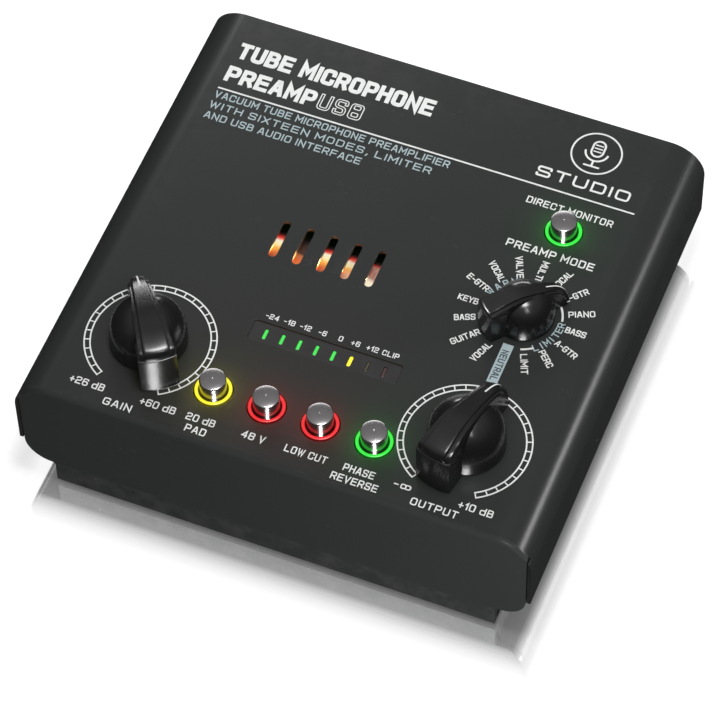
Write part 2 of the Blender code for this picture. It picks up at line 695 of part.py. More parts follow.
def make_usb_and_dc():
    x, z = USB
    y0 = REAR_FACE_Y
    a, b = USB_HALF
    usb = box("usb_socket", x - a, x + a, y0 - USB_LONG, y0 + 0.6, z - b, z + b)
    ring = [(x - 4.2, z - 3.9), (x + 4.2, z - 3.9), (x + 4.2, z + 2.4), (x + 2.7, z + 3.9),
            (x - 2.7, z + 3.9), (x - 4.2, z + 2.4)]
    cut(usb, prism("tool", ring, y0 - 9.5, y0 + 6.0, "y"))
    join(usb, box("tongue", x - 2.8, x + 2.8, y0 - 12.0, y0 - 1.0, z - 1.5, z + 1.6))
    finish(usb, USB_STEEL, 1.0, 0.35)
    x, z = DC
    back = y0 - PANEL_T - 0.5
    dc = box("power_socket", x - 3.9, x + 4.5, back - 14.0, back, z - 5.5, z + 5.5)
    join(dc, prism("nose", circle(x, z, DC_NECK_R, 20), back - 1.5, y0 + 0.6, "y"))
    cut(dc, prism("tool", circle(x, z, DC_BORE_R, 20), y0 - 12.0, y0 + 6.0, "y"))
    join(dc, prism("pin", circle(x, z, 1.0, 12), y0 - 13.5, y0 - 1.2, "y"))
    finish(dc, CONNECTOR_BLACK, 0.0, 0.4)


def build():
    make_top_cover()
    make_front_panel()
    make_rear_panel()
    make_base_pan()
    make_feet_and_screws()
    make_rotary("gain", GAIN)
    make_rotary("output", OUTPUT)
    make_rotary("mode", MODE)
    for name, x, y, colour in BUTTONS:
        make_button(name, x, y, colour)
    make_meter()
    make_valve()
    make_boards()
    make_xlr_in()
    make_xlr_out()
    make_jack("input", JACK_IN[0], JACK_IN[1])
    make_jack("output", JACK_OUT[0], JACK_OUT[1])
    make_usb_and_dc()


build()
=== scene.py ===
"""Looks of the desktop valve microphone preamp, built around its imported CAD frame.
Lengths below are millimetres in the frame's axes; MM turns them into metres."""
import json
import math

import bpy
import bmesh
from mathutils import Matrix, Vector


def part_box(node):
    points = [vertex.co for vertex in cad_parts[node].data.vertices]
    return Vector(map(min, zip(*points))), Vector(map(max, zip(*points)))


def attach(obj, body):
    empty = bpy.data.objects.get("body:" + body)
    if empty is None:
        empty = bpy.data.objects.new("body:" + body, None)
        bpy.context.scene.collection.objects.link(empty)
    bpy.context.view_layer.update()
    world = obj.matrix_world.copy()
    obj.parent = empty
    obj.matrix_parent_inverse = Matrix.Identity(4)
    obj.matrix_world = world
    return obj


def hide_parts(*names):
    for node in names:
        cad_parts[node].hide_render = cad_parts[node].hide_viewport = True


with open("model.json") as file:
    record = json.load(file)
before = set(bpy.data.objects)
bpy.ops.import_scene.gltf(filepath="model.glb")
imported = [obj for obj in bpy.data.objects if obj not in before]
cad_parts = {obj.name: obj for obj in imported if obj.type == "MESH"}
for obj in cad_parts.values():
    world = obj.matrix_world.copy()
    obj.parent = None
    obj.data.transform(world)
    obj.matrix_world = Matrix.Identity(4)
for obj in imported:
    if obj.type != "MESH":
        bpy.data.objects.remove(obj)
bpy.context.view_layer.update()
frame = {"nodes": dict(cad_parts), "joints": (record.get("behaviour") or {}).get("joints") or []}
MM = 0.001


# ---------------------------------------------------------------- frame readings
def box_mm(node):
    low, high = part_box(node)
    return [c / MM for c in low], [c / MM for c in high]


def centre_mm(node):
    low, high = box_mm(node)
    return [(a + b) / 2 for a, b in zip(low, high)]


def plan_mm(node):
    """Middle of the node seen from above."""
    return centre_mm(node)[:2]


def face_mm(node):
    """Middle of the node seen from behind: x and z."""
    return centre_mm(node)[0::2]


def half_mm(node):
    """Half the node's width."""
    low, high = box_mm(node)
    return (high[0] - low[0]) / 2


JOINTS = {joint["name"]: joint for joint in frame["joints"]}
COVER_LOW, COVER_HIGH = box_mm("top_cover")
PANEL_HALF_W = box_mm("front_panel")[1][0]
REAR_LOW, REAR_HIGH = box_mm("rear_panel")
BASE_LOW, BASE_HIGH = box_mm("base_pan")
TOP = COVER_HIGH[2]
FRONT = COVER_LOW[1]
BACK = COVER_HIGH[1]
MID_Y = (FRONT + BACK) / 2
HALF_W = COVER_HIGH[0]

# case shape
SHEET = 1.0
CORNER_R = 9.4
CORNER_X = HALF_W - CORNER_R
CORNER_Z = TOP - CORNER_R
GAP = 0.3
PANEL_T = 1.5
STEP_HALF_W = 58.5
STEP_Z = TOP - 31.0
LOWER_R = 7.0
STEP_R = 0.9
LOWER_BEND_Z = TOP - 24.0
BASE_Z = BASE_LOW[2]
SOFT_EDGE = 0.22
PLATE_EDGE = 0.15
CUT_Z = (TOP - 4.0, TOP + 3.0)

# knobs: size against a large one, and rest angle in degrees clockwise from the back
KNOBS = {
    "gain": (1.0, -34.5),
    "output": (1.0, 13.0),
    "mode": (0.745, 42.5),
}
SMALL_DOME_GROW = 1.07
DIAL_CENTRES = {"gain": (-40.82, -41.24), "output": (41.56, -41.28), "mode": (41.5, -1.9)}
BUTTONS = {"pad": "yellow", "phantom": "red", "low_cut": "red", "phase": "green",
           "monitor": "green"}
# colour of the light each ring throws on the cover, and of the ring itself
RING_COLOURS = {"yellow": (1.0, 0.83, 0.0), "red": (1.0, 0.012, 0.012),
                "green": (0.03, 1.0, 0.06)}
RING_GLOW = {"yellow": (0.80, 0.72, 0.015), "red": (0.66, 0.008, 0.013),
             "green": (0.018, 0.66, 0.035)}
SLOT_X = (-22.9, -16.5, -10.1, -3.7, 2.7)
SLOT_Y = MID_Y
SLOT_SIZE = (2.1, 11.4)
SHAFT_HOLE_R = 3.9
RING_HOLE_R = 4.95
PRINT_LIFT = 0.03
PRINT_SINK = 0.03
PATCH_LIFT = PRINT_LIFT - 0.004
WORLD_LIGHT = 0.38
FLOOR_GAIN = 1.0 / WORLD_LIGHT


# ---------------------------------------------------------------- mesh helpers
def rise(value, start, span):
    """0 up to start, then a straight rise to 1 over the span."""
    return min(1.0, max(0.0, (value - start) / span))


def place(axis, u, v, w):
    if axis == "x":
        return (w, u, v)
    if axis == "y":
        return (u, w, v)
    return (u, v, w)


def object_from(bm, name):
    mesh = bpy.data.meshes.new(name)
    bm.to_mesh(mesh)
    bm.free()
    obj = bpy.data.objects.new(name, mesh)
    bpy.context.collection.objects.link(obj)
    return obj


def new_object(name, verts, faces):
    bm = bmesh.new()
    made = [bm.verts.new([c * MM for c in vert]) for vert in verts]
    for face in faces:
        bm.faces.new([made[i] for i in face])
    bmesh.ops.recalc_face_normals(bm, faces=bm.faces)
    return object_from(bm, name)


def loft(name, rings, axis="z", closed=False):
    """Body through equal rings of (u, v), each at its own w along the axis."""
    count = len(rings[0][1])
    verts = [place(axis, u, v, w) for w, ring in rings for u, v in ring]
    faces = []
    spans = len(rings) if closed else len(rings) - 1
    for k in range(spans):
        n = (k + 1) % len(rings)
        for i in range(count):
            j = (i + 1) % count
            faces.append([k * count + i, k * count + j, n * count + j, n * count + i])
    if not closed:
        faces.append(list(range(count)))
        faces.append(list(range((len(rings) - 1) * count, len(rings) * count)))
    return new_object(name, verts, faces)


def prism(name, outline, w0, w1, axis="z"):
    return loft(name, [(w0, outline), (w1, outline)], axis)


def circle(cu, cv, radius, count):
    turns = [2 * math.pi * i / count for i in range(count)]
    return [(cu + radius * math.cos(a), cv + radius * math.sin(a)) for a in turns]


def bore(x, z, radius, y0, y1, count=64):
    """Tool for a round hole that runs front to back."""
    return prism("tool", circle(x, z, radius, count), y0, y1, "y")


def lathe(name, centre, profile, count=64, axis="z", closed=False):
    rings = [(w, circle(centre[0], centre[1], r, count)) for r, w in profile]
    return loft(name, rings, axis, closed)


def rounded(cu, cv, width, height, radius, steps=8):
    ring = []
    for qu, qv, a0 in ((1, 1, 0), (-1, 1, 90), (-1, -1, 180), (1, -1, 270)):
        for k in range(steps + 1):
            a = math.radians(a0 + 90 * k / steps)
            ring.append((cu + qu * (width / 2 - radius) + radius * math.cos(a),
                         cv + qv * (height / 2 - radius) + radius * math.sin(a)))
    return ring


def box(name, x0, x1, y0, y1, z0, z1):
    return prism(name, [(x0, y0), (x1, y0), (x1, y1), (x0, y1)], z0, z1)


def bake(obj, mod):
    """Turns the object's modifier into mesh."""
    graph = bpy.context.evaluated_depsgraph_get()
    mesh = bpy.data.meshes.new_from_object(obj.evaluated_get(graph))
    obj.modifiers.remove(mod)
    obj.data = mesh


def combine(target, others, kind):
    for other in others:
        mod = target.modifiers.new("combine", "BOOLEAN")
        mod.operation = kind
        mod.solver = "EXACT"
        mod.object = other
        bake(target, mod)
        bpy.data.objects.remove(other, do_unlink=True)
    return target


def cut(target, *cutters):
    return combine(target, cutters, "DIFFERENCE")


def join(target, *others):
    return combine(target, others, "UNION")


def merge(name, parts):
    """One object out of several closed shells that touch or overlap."""
    bm = bmesh.new()
    for part in parts:
        bm.from_mesh(part.data)
        bpy.data.objects.remove(part, do_unlink=True)
    return object_from(bm, name)


def soften(obj, width=0.0, segments=3, angle=32.0, seam=None):
    """Rounds the edges and shades the piece smooth; edges behind the seam (in y) stay square."""
    mesh = obj.data
    mesh.shade_smooth()
    if width:
        bm = bmesh.new()
        bm.from_mesh(mesh)
        layer = bm.edges.layers.float.new("bevel_weight_edge")
        for edge in bm.edges:
            bend = edge.calc_face_angle(0.0) > math.radians(angle)
            low, high = seam if seam else (1e9, 1e9)
            kept = all(low < v.co.y / MM < high for v in edge.verts)
            edge[layer] = 1.0 if bend and not kept else 0.0
            edge.smooth = not (bend and kept)
        bm.to_mesh(mesh)
        bm.free()
        mod = obj.modifiers.new("round_edges", "BEVEL")
        mod.width = width * MM
        mod.segments = segments
        mod.limit_method = "WEIGHT"
        mod.use_clamp_overlap = True
    else:
        mesh.set_sharp_from_angle(angle=math.radians(angle))
    weigh = obj.modifiers.new("even_shading", "WEIGHTED_NORMAL")
    weigh.keep_sharp = True
    weigh.weight = 100
    return obj


def centre_origin(obj, x, y, z):
    shift = Vector((x * MM, y * MM, z * MM))
    obj.data.transform(Matrix.Translation(-shift))
    obj.location = shift
    return obj


def dress(obj, material, nodes=(), body="chassis"):
    obj.data.materials.clear()
    obj.data.materials.append(material)
    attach(obj, body)
    if nodes:
        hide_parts(*nodes)
    return obj


def coat(obj, material, nodes=(), edge=0.0, steps=3, body="chassis"):
    """Softens the piece and dresses it."""
    soften(obj, edge, steps)
    return dress(obj, material, nodes, body)


# ---------------------------------------------------------------- materials
FINE_GRAIN = (2600.0, 2.0, 0.5, None, 4.0)
SOFT_GRAIN = (1200.0, 2.0, 0.5, None, 2.0)


class Surface:
    """A Principled material with procedural colour, roughness and relief."""

    def __init__(self, name, colour, rough, metallic=0.0, specular=0.5):
        self.mat = bpy.data.materials.new(name)
        self.mat.use_nodes = True
        self.tree = self.mat.node_tree
        self.shader = self.tree.nodes["Principled BSDF"]
        self.colour = colour
        self.rough = rough
        self.put("Base Color", colour)
        self.put("Roughness", rough)
        self.put("Metallic", metallic)
        self.put("Specular IOR Level", specular)
        self.coords = self.node("ShaderNodeTexCoord").outputs["Object"]

    def feed(self, socket, value):
        """Links an output to the socket, or sets the socket to a number or colour."""
        if isinstance(value, bpy.types.NodeSocket):
            self.tree.links.new(value, socket)
        elif isinstance(value, tuple) and len(socket.default_value) == 4:
            socket.default_value = (*value, 1.0)
        else:
            socket.default_value = value

    def put(self, key, value):
        self.feed(self.shader.inputs[key], value)

    def node(self, kind, inputs=None, **values):
        node = self.tree.nodes.new(kind)
        for key, value in values.items():
            setattr(node, key, value)
        for key, value in (inputs or {}).items():
            self.feed(node.inputs[key], value)
        return node

    def noise(self, scale, detail=3.0, rough=0.5, stretch=None, seed=0.0):
        source = self.coords
        if stretch:
            mapping = self.node("ShaderNodeMapping", {"Scale": stretch, "Vector": source})
            source = mapping.outputs["Vector"]
        inputs = {"Scale": scale, "Detail": detail, "Roughness": rough, "W": seed, "Vector": source}
        return self.node("ShaderNodeTexNoise", inputs, noise_dimensions="4D").outputs["Fac"]

    def ramp(self, source, stops):
        node = self.node("ShaderNodeValToRGB", {"Fac": source})
        elements = node.color_ramp.elements
        while len(elements) < len(stops):
            elements.new(0.5)
        for element, (at, value) in zip(elements, stops):
            element.position = at
            colour = value if isinstance(value, tuple) else (value, value, value)
            element.color = (*colour, 1.0)
        return node.outputs["Color"]

    def math(self, kind, a, b):
        return self.node("ShaderNodeMath", {0: a, 1: b}, operation=kind).outputs[0]

    def mix(self, fac, a, b):
        return self.node("ShaderNodeMix", {0: fac, 6: a, 7: b}, data_type="RGBA").outputs[2]

    def vary_colour(self, amount, scale=60.0, seed=1.0):
        """Slow light and dark drift of the base colour."""
        low = tuple(c * (1 - amount) for c in self.colour)
        high = tuple(min(1.0, c * (1 + amount)) for c in self.colour)
        fac = self.ramp(self.noise(scale, 4.0, 0.55, None, seed), ((0.3, 0.0), (0.7, 1.0)))
        self.base = self.mix(fac, low, high)
        self.put("Base Color", self.base)
        return self

    def wear(self, colour, amount=0.5, sharp=0.56):
        """Bright rubbed paint along sharp outer edges."""
        point = self.node("ShaderNodeNewGeometry").outputs["Pointiness"]
        edge = self.ramp(point, ((sharp - 0.03, 0.0), (sharp + 0.05, 1.0)))
        patch = self.ramp(self.noise(240.0, 4.0, 0.6, None, 7.0), ((0.42, 0.0), (0.62, 1.0)))
        fac = self.math("MULTIPLY", self.math("MULTIPLY", edge, patch), amount)
        self.base = self.mix(fac, self.base, colour)
        self.put("Base Color", self.base)
        return self

    def vary_rough(self, amount, scale=150.0, seed=3.0, stretch=None):
        fac = self.noise(scale, 5.0, 0.6, stretch, seed)
        low = max(0.02, self.rough - amount)
        high = min(1.0, self.rough + amount)
        self.put("Roughness", self.math("ADD", self.math("MULTIPLY", fac, high - low), low))
        return self

    def relief(self, *layers):
        """layers of (noise output, strength, height in mm)."""
        normal = None
        for source, strength, height in layers:
            inputs = {"Strength": strength, "Distance": height * MM, "Height": source}
            if normal is not None:
                inputs["Normal"] = normal
            normal = self.node("ShaderNodeBump", inputs).outputs["Normal"]
        self.put("Normal", normal)
        return self

    def axes(self):
        """The piece's own x, y and z."""
        return self.node("ShaderNodeSeparateXYZ", {0: self.coords}).outputs

    def glow(self, colour, strength):
        self.put("Emission Color", colour)
        self.put("Emission Strength", strength)
        return self


def powder_coat(name, colour, rough, specular, drift, wear, scatter, grain):
    """Painted steel: colour drift, rubbed edges, roughness scatter and a fine grain."""
    s = Surface(name, colour, rough, 0.0, specular)
    s.vary_colour(*drift)
    s.wear(*wear)
    s.vary_rough(*scatter)
    s.relief((s.noise(*FINE_GRAIN), *grain))
    return s.mat


def knob_material():
    s = Surface("knob_gloss_black", (0.011, 0.011, 0.0115), 0.22, 0.0, 0.45)
    s.vary_colour(0.15, 120.0)
    s.vary_rough(0.03, 220.0)
    s.relief((s.noise(900.0, 3.0, 0.5, None, 2.0), 0.015, 0.02),
             (s.noise(1500.0, 2.0, 0.5, (1.0, 0.06, 1.0), 9.0), 0.01, 0.02))
    return s.mat


def plastic_material(name, colour, rough, grain=0.08):
    s = Surface(name, colour, rough)
    s.vary_colour(0.15, 150.0)
    s.vary_rough(0.08, 200.0)
    s.relief((s.noise(1800.0, 3.0, 0.5, None, 2.0), grain, 0.03))
    return s.mat


def metal_material(name, colour, rough, stretch=None, grain=0.05, dirt=0.25):
    s = Surface(name, colour, rough, 1.0)
    s.vary_colour(dirt, 160.0)
    s.vary_rough(0.09, 400.0, 3.0, stretch)
    s.relief((s.noise(1600.0, 3.0, 0.5, stretch, 2.0), grain, 0.02))
    return s.mat


def cap_material():
    """Polished dark metal with fine turning marks round the piece's own centre."""
    s = Surface("spun_gunmetal", (0.34, 0.325, 0.33), 0.2, 1.0)
    x, y, _ = s.axes()
    square = s.math("ADD", s.math("MULTIPLY", x, x), s.math("MULTIPLY", y, y))
    radius = s.math("SQRT", square, 0.0)
    marks = s.node("ShaderNodeTexNoise", noise_dimensions="1D")
    s.feed(marks.inputs["Scale"], 5200.0)
    s.feed(marks.inputs["W"], radius)
    s.vary_colour(0.08, 300.0)
    s.put("Roughness", s.math("ADD", s.math("MULTIPLY", marks.outputs["Fac"], 0.08), 0.17))
    s.relief((marks.outputs["Fac"], 0.03, 0.006))
    return s.mat


def lit_surface(name, base_colour, rough):
    s = Surface(name, base_colour, rough)
    s.vary_colour(0.1, 300.0)
    s.vary_rough(0.05, 300.0)
    s.relief((s.noise(*SOFT_GRAIN), 0.04, 0.02))
    return s


def light_material(name, colour, strength):
    s = lit_surface(name, tuple(c * 0.6 + 0.02 for c in colour), 0.3)
    s.glow(colour, strength)
    cloud = s.ramp(s.noise(500.0, 2.0, 0.5, None, 6.0),
                   ((0.2, tuple(c * 0.9 for c in colour)), (0.8, colour)))
    s.put("Emission Color", cloud)
    return s.mat


def ring_material(name, colour):
    """Lit ring: bright on its flat top; its glow is painted darker down its inner side as painted
    shade under the cap.
    """
    s = lit_surface(name, tuple(c * 0.3 + 0.01 for c in colour), 0.35)
    above = s.math("SUBTRACT", s.axes()[2], (TOP - 0.6) * MM)
    dark, darkest = [tuple(c * share for c in colour) for share in (0.07, 0.05)]
    level = s.ramp(s.math("DIVIDE", above, 1.0 * MM),
                   ((0.0, darkest), (0.80, dark), (0.93, colour), (1.0, colour)))
    s.put("Emission Color", level)
    s.put("Emission Strength", 1.0)
    return s.mat


def print_material(name, colour):
    s = Surface(name, colour, 0.55, 0.0, 0.3)
    s.vary_colour(0.05, 700.0)
    s.vary_rough(0.08, 500.0)
    s.relief((s.noise(*FINE_GRAIN), 0.15, 0.02))
    s.glow(colour, 0.0)
    return s.mat


def glass_material():
    s = Surface("valve_blown_glass", (0.10, 0.11, 0.11), 0.04, 0.0, 0.3)
    s.vary_colour(0.03, 80.0)
    s.vary_rough(0.03, 200.0)
    s.relief((s.noise(120.0, 2.0, 0.5, None, 2.0), 0.1, 0.2))
    s.put("Alpha", 0.05)
    return s.mat


def painted_glow_material(name):
    """Electrode metal with a painted glow seen through the slots: orange in front, cream, then red
    and dark behind.
    """
    s = Surface(name, (0.05, 0.035, 0.03), 0.5, 0.3)
    s.vary_colour(0.3, 300.0)
    x, y, _ = s.axes()
    wobble = s.math("MULTIPLY", s.math("SUBTRACT", s.noise(260.0, 3.0, 0.6, None, 3.0), 0.5), 0.16)
    span = s.math("DIVIDE", s.math("SUBTRACT", y, (SLOT_Y - 3.0) * MM), 10.0 * MM)
    along = s.math("ADD", span, wobble)
    full = s.ramp(along, ((0.02, (0.30, 0.03, 0.002)), (0.16, (0.70, 0.13, 0.006)),
                          (0.30, (1.0, 0.46, 0.05)), (0.42, (1.05, 0.88, 0.42)),
                          (0.58, (1.0, 0.90, 0.66)), (0.66, (0.85, 0.10, 0.06)),
                          (0.74, (0.45, 0.008, 0.006)), (0.86, (0.02, 0.003, 0.002))))
    faint = s.ramp(along, ((0.0, (0.80, 0.16, 0.01)), (0.16, (0.62, 0.10, 0.008)),
                           (0.26, (0.50, 0.13, 0.03)), (0.34, (0.05, 0.012, 0.004)),
                           (0.60, (0.02, 0.004, 0.002)), (0.75, (0.004, 0.001, 0.001))))
    streak = s.noise(900.0, 2.0, 0.6, (1.0, 0.12, 1.0), 5.0)
    grey = s.ramp(streak, ((0.35, (0.22, 0.075, 0.055)), (0.65, (0.50, 0.24, 0.18))))
    hazy = s.ramp(along, ((0.16, (0.95, 0.85, 0.62)), (0.26, (0.60, 0.36, 0.26)),
                          (0.34, (0.0, 0.0, 0.0))))
    salmon = s.mix(s.ramp(along, ((0.24, 0.0), (0.32, 1.0))), hazy, grey)
    salmon = s.mix(s.ramp(along, ((0.66, 0.0), (0.74, 1.0))), salmon, (0.30, 0.012, 0.008))
    salmon = s.mix(s.ramp(along, ((0.76, 0.0), (0.84, 1.0))), salmon, (0.01, 0.002, 0.002))
    # the second slot gets a fainter painted glow; towards the last slots the painted glow blends
    # into hazy cream and grey streaks
    second = s.math("COMPARE", x, -17.8 * MM)
    second.node.inputs[2].default_value = 3.2 * MM
    last = s.ramp(s.math("DIVIDE", s.math("ADD", x, 6.6 * MM), 7.0 * MM),
                  ((0.0, 0.0), (0.28, 0.28), (0.55, 0.35), (0.75, 1.0)))
    s.put("Emission Color", s.mix(last, s.mix(second, full, faint), salmon))
    s.put("Emission Strength", 1.0)
    s.vary_rough(0.1, 200.0)
    s.relief((s.noise(900.0, 2.0, 0.5, None, 2.0), 0.2, 0.05))
    return s.mat


def board_material():
    s = Surface("green_solder_mask", (0.012, 0.10, 0.035), 0.32)
    s.vary_colour(0.2, 200.0)
    traces = s.ramp(s.noise(260.0, 1.0, 0.4, (1.0, 0.25, 1.0), 8.0), ((0.50, 0.0), (0.53, 1.0)))
    s.put("Base Color", s.mix(traces, s.base, (0.02, 0.17, 0.06)))
    s.vary_rough(0.06, 160.0)
    s.relief((traces, 0.3, 0.03))
    return s.mat


MIRROR_HALF = (60.0, 63.0)
MIRROR_FADE = 15.0


def floor_material():
    """White light table, polished close to the case so that it mirrors the lowest parts."""
    s = Surface("pale_floor", (0.72, 0.72, 0.72), 0.5, 0.0, 0.2)
    s.vary_colour(0.01, 3.0)
    s.vary_rough(0.03, 8.0)
    s.relief((s.noise(200.0, 2.0, 0.5, None, 2.0), 0.02, 0.05))
    s.glow((1.0, 1.0, 1.0), 0.55)
    x, y, _ = s.axes()
    across = s.math("SUBTRACT", s.math("ABSOLUTE", x, 0.0), MIRROR_HALF[0] * MM)
    along = s.math("ABSOLUTE", s.math("SUBTRACT", y, MID_Y * MM), 0.0)
    away = s.math("MAXIMUM", across, s.math("SUBTRACT", along, MIRROR_HALF[1] * MM))
    fade = s.ramp(s.math("DIVIDE", away, MIRROR_FADE * MM),
                  ((0.0, 0.81), (0.32, 0.79), (0.43, 0.53), (0.61, 0.26), (0.80, 0.10), (1.0, 0.0)))
    gain = (FLOOR_GAIN, FLOOR_GAIN, FLOOR_GAIN)
    mirror = s.node("ShaderNodeBsdfGlossy", {"Color": gain, "Roughness": 0.05})
    inputs = {0: fade, 1: s.shader.outputs[0], 2: mirror.outputs[0]}
    blend = s.node("ShaderNodeMixShader", inputs)
    s.feed(s.tree.nodes["Material Output"].inputs["Surface"], blend.outputs[0])
    return s.mat


PAINT = powder_coat("charcoal_powder_coat", (0.0200, 0.0217, 0.0211), 0.27, 0.20, (0.02, 45.0),
                    ((0.05, 0.05, 0.049), 0.3, 0.60), (0.012, 90.0), (0.08, 0.02))
BASE_PAINT = powder_coat("base_powder_coat", (0.018, 0.0195, 0.019), 0.4, 0.22, (0.04, 50.0),
                         ((0.07, 0.07, 0.068), 0.35, 0.58), (0.04, 110.0), (0.2, 0.03))
KNOB_BLACK = knob_material()
PRINT_WHITE = print_material("print_white", (0.60, 0.61, 0.60))
PRINT_BLUE = print_material("print_blue_grey", (0.30, 0.37, 0.39))
PRINT_DARK = print_material("print_dark", (0.03, 0.045, 0.05))
CAP_METAL = cap_material()
BLACK_PLASTIC = plastic_material("connector_black_plastic", (0.018, 0.018, 0.019), 0.34)
LATCH_PLASTIC = plastic_material("latch_black_plastic", (0.015, 0.015, 0.016), 0.42)
SMOKED = plastic_material("smoked_window_plastic", (0.0125, 0.0112, 0.0115), 0.3, 0.03)
# near-black matte for the strips that paint the shadow in the knob grooves
SHADOW_GAP = plastic_material("groove_painted_shadow", (0.003, 0.003, 0.003), 0.9)
RUBBER = plastic_material("foot_black_rubber", (0.014, 0.014, 0.014), 0.82, 0.35)
NICKEL = metal_material("nickel_plate", (0.66, 0.65, 0.62), 0.24)
STEEL = metal_material("plated_steel", (0.55, 0.55, 0.54), 0.34, (1.0, 0.1, 1.0))
ZINC_BLACK = metal_material("black_zinc", (0.07, 0.07, 0.075), 0.38)
SILVER = metal_material("silver_contact", (0.78, 0.74, 0.66), 0.22)
TURNED = metal_material("turned_aluminium", (0.62, 0.62, 0.61), 0.3, (1.0, 1.0, 0.1))
CREAM = plastic_material("switch_cream_plastic", (0.45, 0.44, 0.40), 0.5)
CERAMIC = plastic_material("socket_ceramic", (0.62, 0.60, 0.55), 0.3)
BOARD = board_material()
GLASS = glass_material()
PAINTED_GLOW = painted_glow_material("electrodes_painted_glow")
RING_LIGHT = {name: ring_material(name + "_ring_light", RING_GLOW[colour])
              for name, colour in BUTTONS.items()}
BAR_LIGHT = {
    "green": light_material("bar_green_light", (0.03, 0.46, 0.05), 1.0),
    "yellow": light_material("bar_yellow_light", (0.92, 0.84, 0.02), 1.0),
    # the unlit amber and red bars keep a faint painted glow
    "amber": light_material("bar_amber_unlit", (0.030, 0.022, 0.001), 0.10),
    "red": light_material("bar_red_unlit", (0.040, 0.003, 0.004), 0.10),
}


# ---------------------------------------------------------------- case
def arc(cx, cz, radius, a0, a1, steps):
    return [(cx + radius * math.cos(math.radians(a0 + (a1 - a0) * k / steps)),
             cz + radius * math.sin(math.radians(a0 + (a1 - a0) * k / steps)))
            for k in range(steps + 1)]


def mirrored(path):
    return path + [(-x, z) for x, z in reversed(path)]


def both_sides(right):
    """The same as mirrored, but from the left end to the right end."""
    return [(-x, z) for x, z in reversed(right)] + right


def lower_side(grow):
    """Right-hand lower edge, from the side wall round to the bottom; grow moves it inwards."""
    low = STEP_Z + grow
    points = arc(PANEL_HALF_W - grow - LOWER_R, LOWER_BEND_Z, LOWER_R, 0, -82, 16)
    corner = arc(STEP_HALF_W + STEP_R - grow, low - STEP_R, STEP_R, 90, 180, 5)
    return points + corner + [(STEP_HALF_W - grow, BASE_Z + grow)]


def cover_section():
    low = COVER_LOW[2]
    outer = [(HALF_W, low)] + arc(CORNER_X, CORNER_Z, CORNER_R, 0, 90, 28)
    inner = [(HALF_W - SHEET, low)] + arc(CORNER_X, CORNER_Z, CORNER_R - SHEET, 0, 90, 28)
    return mirrored(outer) + mirrored(inner)[::-1]


def knob_centre(name):
    return [c / MM for c in JOINTS[name + "_turn"]["pos_m"][:2]]


def window_outline(grow, radius):
    low, high = box_mm("meter_window")
    return rounded(*plan_mm("meter_window"), high[0] - low[0] + grow, high[1] - low[1] + grow,
                   radius, 6)


def build_cover():
    cover = prism("cover_shell", cover_section(), FRONT, BACK, "y")
    lip_x = PANEL_HALF_W + GAP
    lip_z = TOP - 6.0
    wide, tall = 80.0, 60.0  # past the case on every side
    notch = [(-lip_x, 0.0), (lip_x, 0.0), (lip_x, lip_z), (wide, lip_z), (wide, tall),
             (-wide, tall), (-wide, lip_z), (-lip_x, lip_z)]
    tools = [prism("tool", notch, FRONT - 5.0, FRONT + PANEL_T + 0.02, "y")]
    holes = [circle(*knob_centre(name), SHAFT_HOLE_R, 48) for name in KNOBS]
    holes += [circle(*plan_mm(name + "_ring"), RING_HOLE_R, 72) for name in BUTTONS]
    holes += [rounded(x, SLOT_Y, *SLOT_SIZE, SLOT_SIZE[0] / 2 - 0.01, 12) for x in SLOT_X]
    holes.append(window_outline(2 * GAP, 0.8))
    tools += [prism("tool", hole, *CUT_Z) for hole in holes]
    cut(cover, *tools)
    soften(cover, SOFT_EDGE, 3, 32.0, (FRONT + PANEL_T - 0.2, FRONT + PANEL_T + 0.2))
    return dress(cover, PAINT, ["top_cover"])


def front_outline():
    corner = arc(CORNER_X, CORNER_Z, CORNER_R, 90, 0, 48)
    right = [p for p in corner if p[0] < PANEL_HALF_W - 0.02]
    bend = math.acos((PANEL_HALF_W - CORNER_X) / CORNER_R)
    right.append((PANEL_HALF_W, CORNER_Z + CORNER_R * math.sin(bend)))
    return both_sides(right + lower_side(0.0))


def build_front():
    """Front plate; its top edge turns back in a soft bend to meet the cover."""
    outline = front_outline()
    rings = [(FRONT + PANEL_T, outline)]
    for k in range(9):
        a = math.radians(90 * k / 8)
        y = FRONT + PANEL_T * (1 - math.sin(a))
        drop = PANEL_T * (1 - math.cos(a)) * 0.75
        rings.append((y, [(x, z - drop * rise(z, TOP - 9.0, 7.0)) for x, z in outline]))
    plate = loft("front_plate", rings, "y")
    soften(plate, PLATE_EDGE, 2, 32.0, (FRONT + 0.2, FRONT + 20.0))
    return dress(plate, PAINT, ["front_panel"])


# the power bore lies this far off the middle of its socket
POWER_OFFSET = 0.3
USB_HOLE = (12.6, 11.6)
# rear connectors and the radius of each one's hole
ROUND_HOLES = {"input_xlr_shell": 12.0, "output_xlr_shell": 12.0, "input_nut": 4.8,
               "output_nut": 4.8, "power_socket": 4.6}


def rear_holes():
    y0, y1 = REAR_LOW[1] - 3.0, REAR_HIGH[1] + 3.0
    tools = []
    for node, radius in ROUND_HOLES.items():
        x, z = face_mm(node)
        shift = POWER_OFFSET if node == "power_socket" else 0.0
        tools.append(bore(x - shift, z, radius, y0, y1))
    usb = rounded(*face_mm("usb_socket"), *USB_HOLE, 0.5, 4)
    return tools + [prism("tool", usb, y0, y1, "y")]


def build_rear():
    corner = arc(CORNER_X, CORNER_Z, CORNER_R - SHEET - GAP, 90, 0, 20)
    outline = both_sides(corner + lower_side(0.0))
    plate = prism("rear_plate", outline, REAR_LOW[1], REAR_HIGH[1], "y")
    cut(plate, *rear_holes())
    return coat(plate, PAINT, ["rear_panel"], PLATE_EDGE, 2)


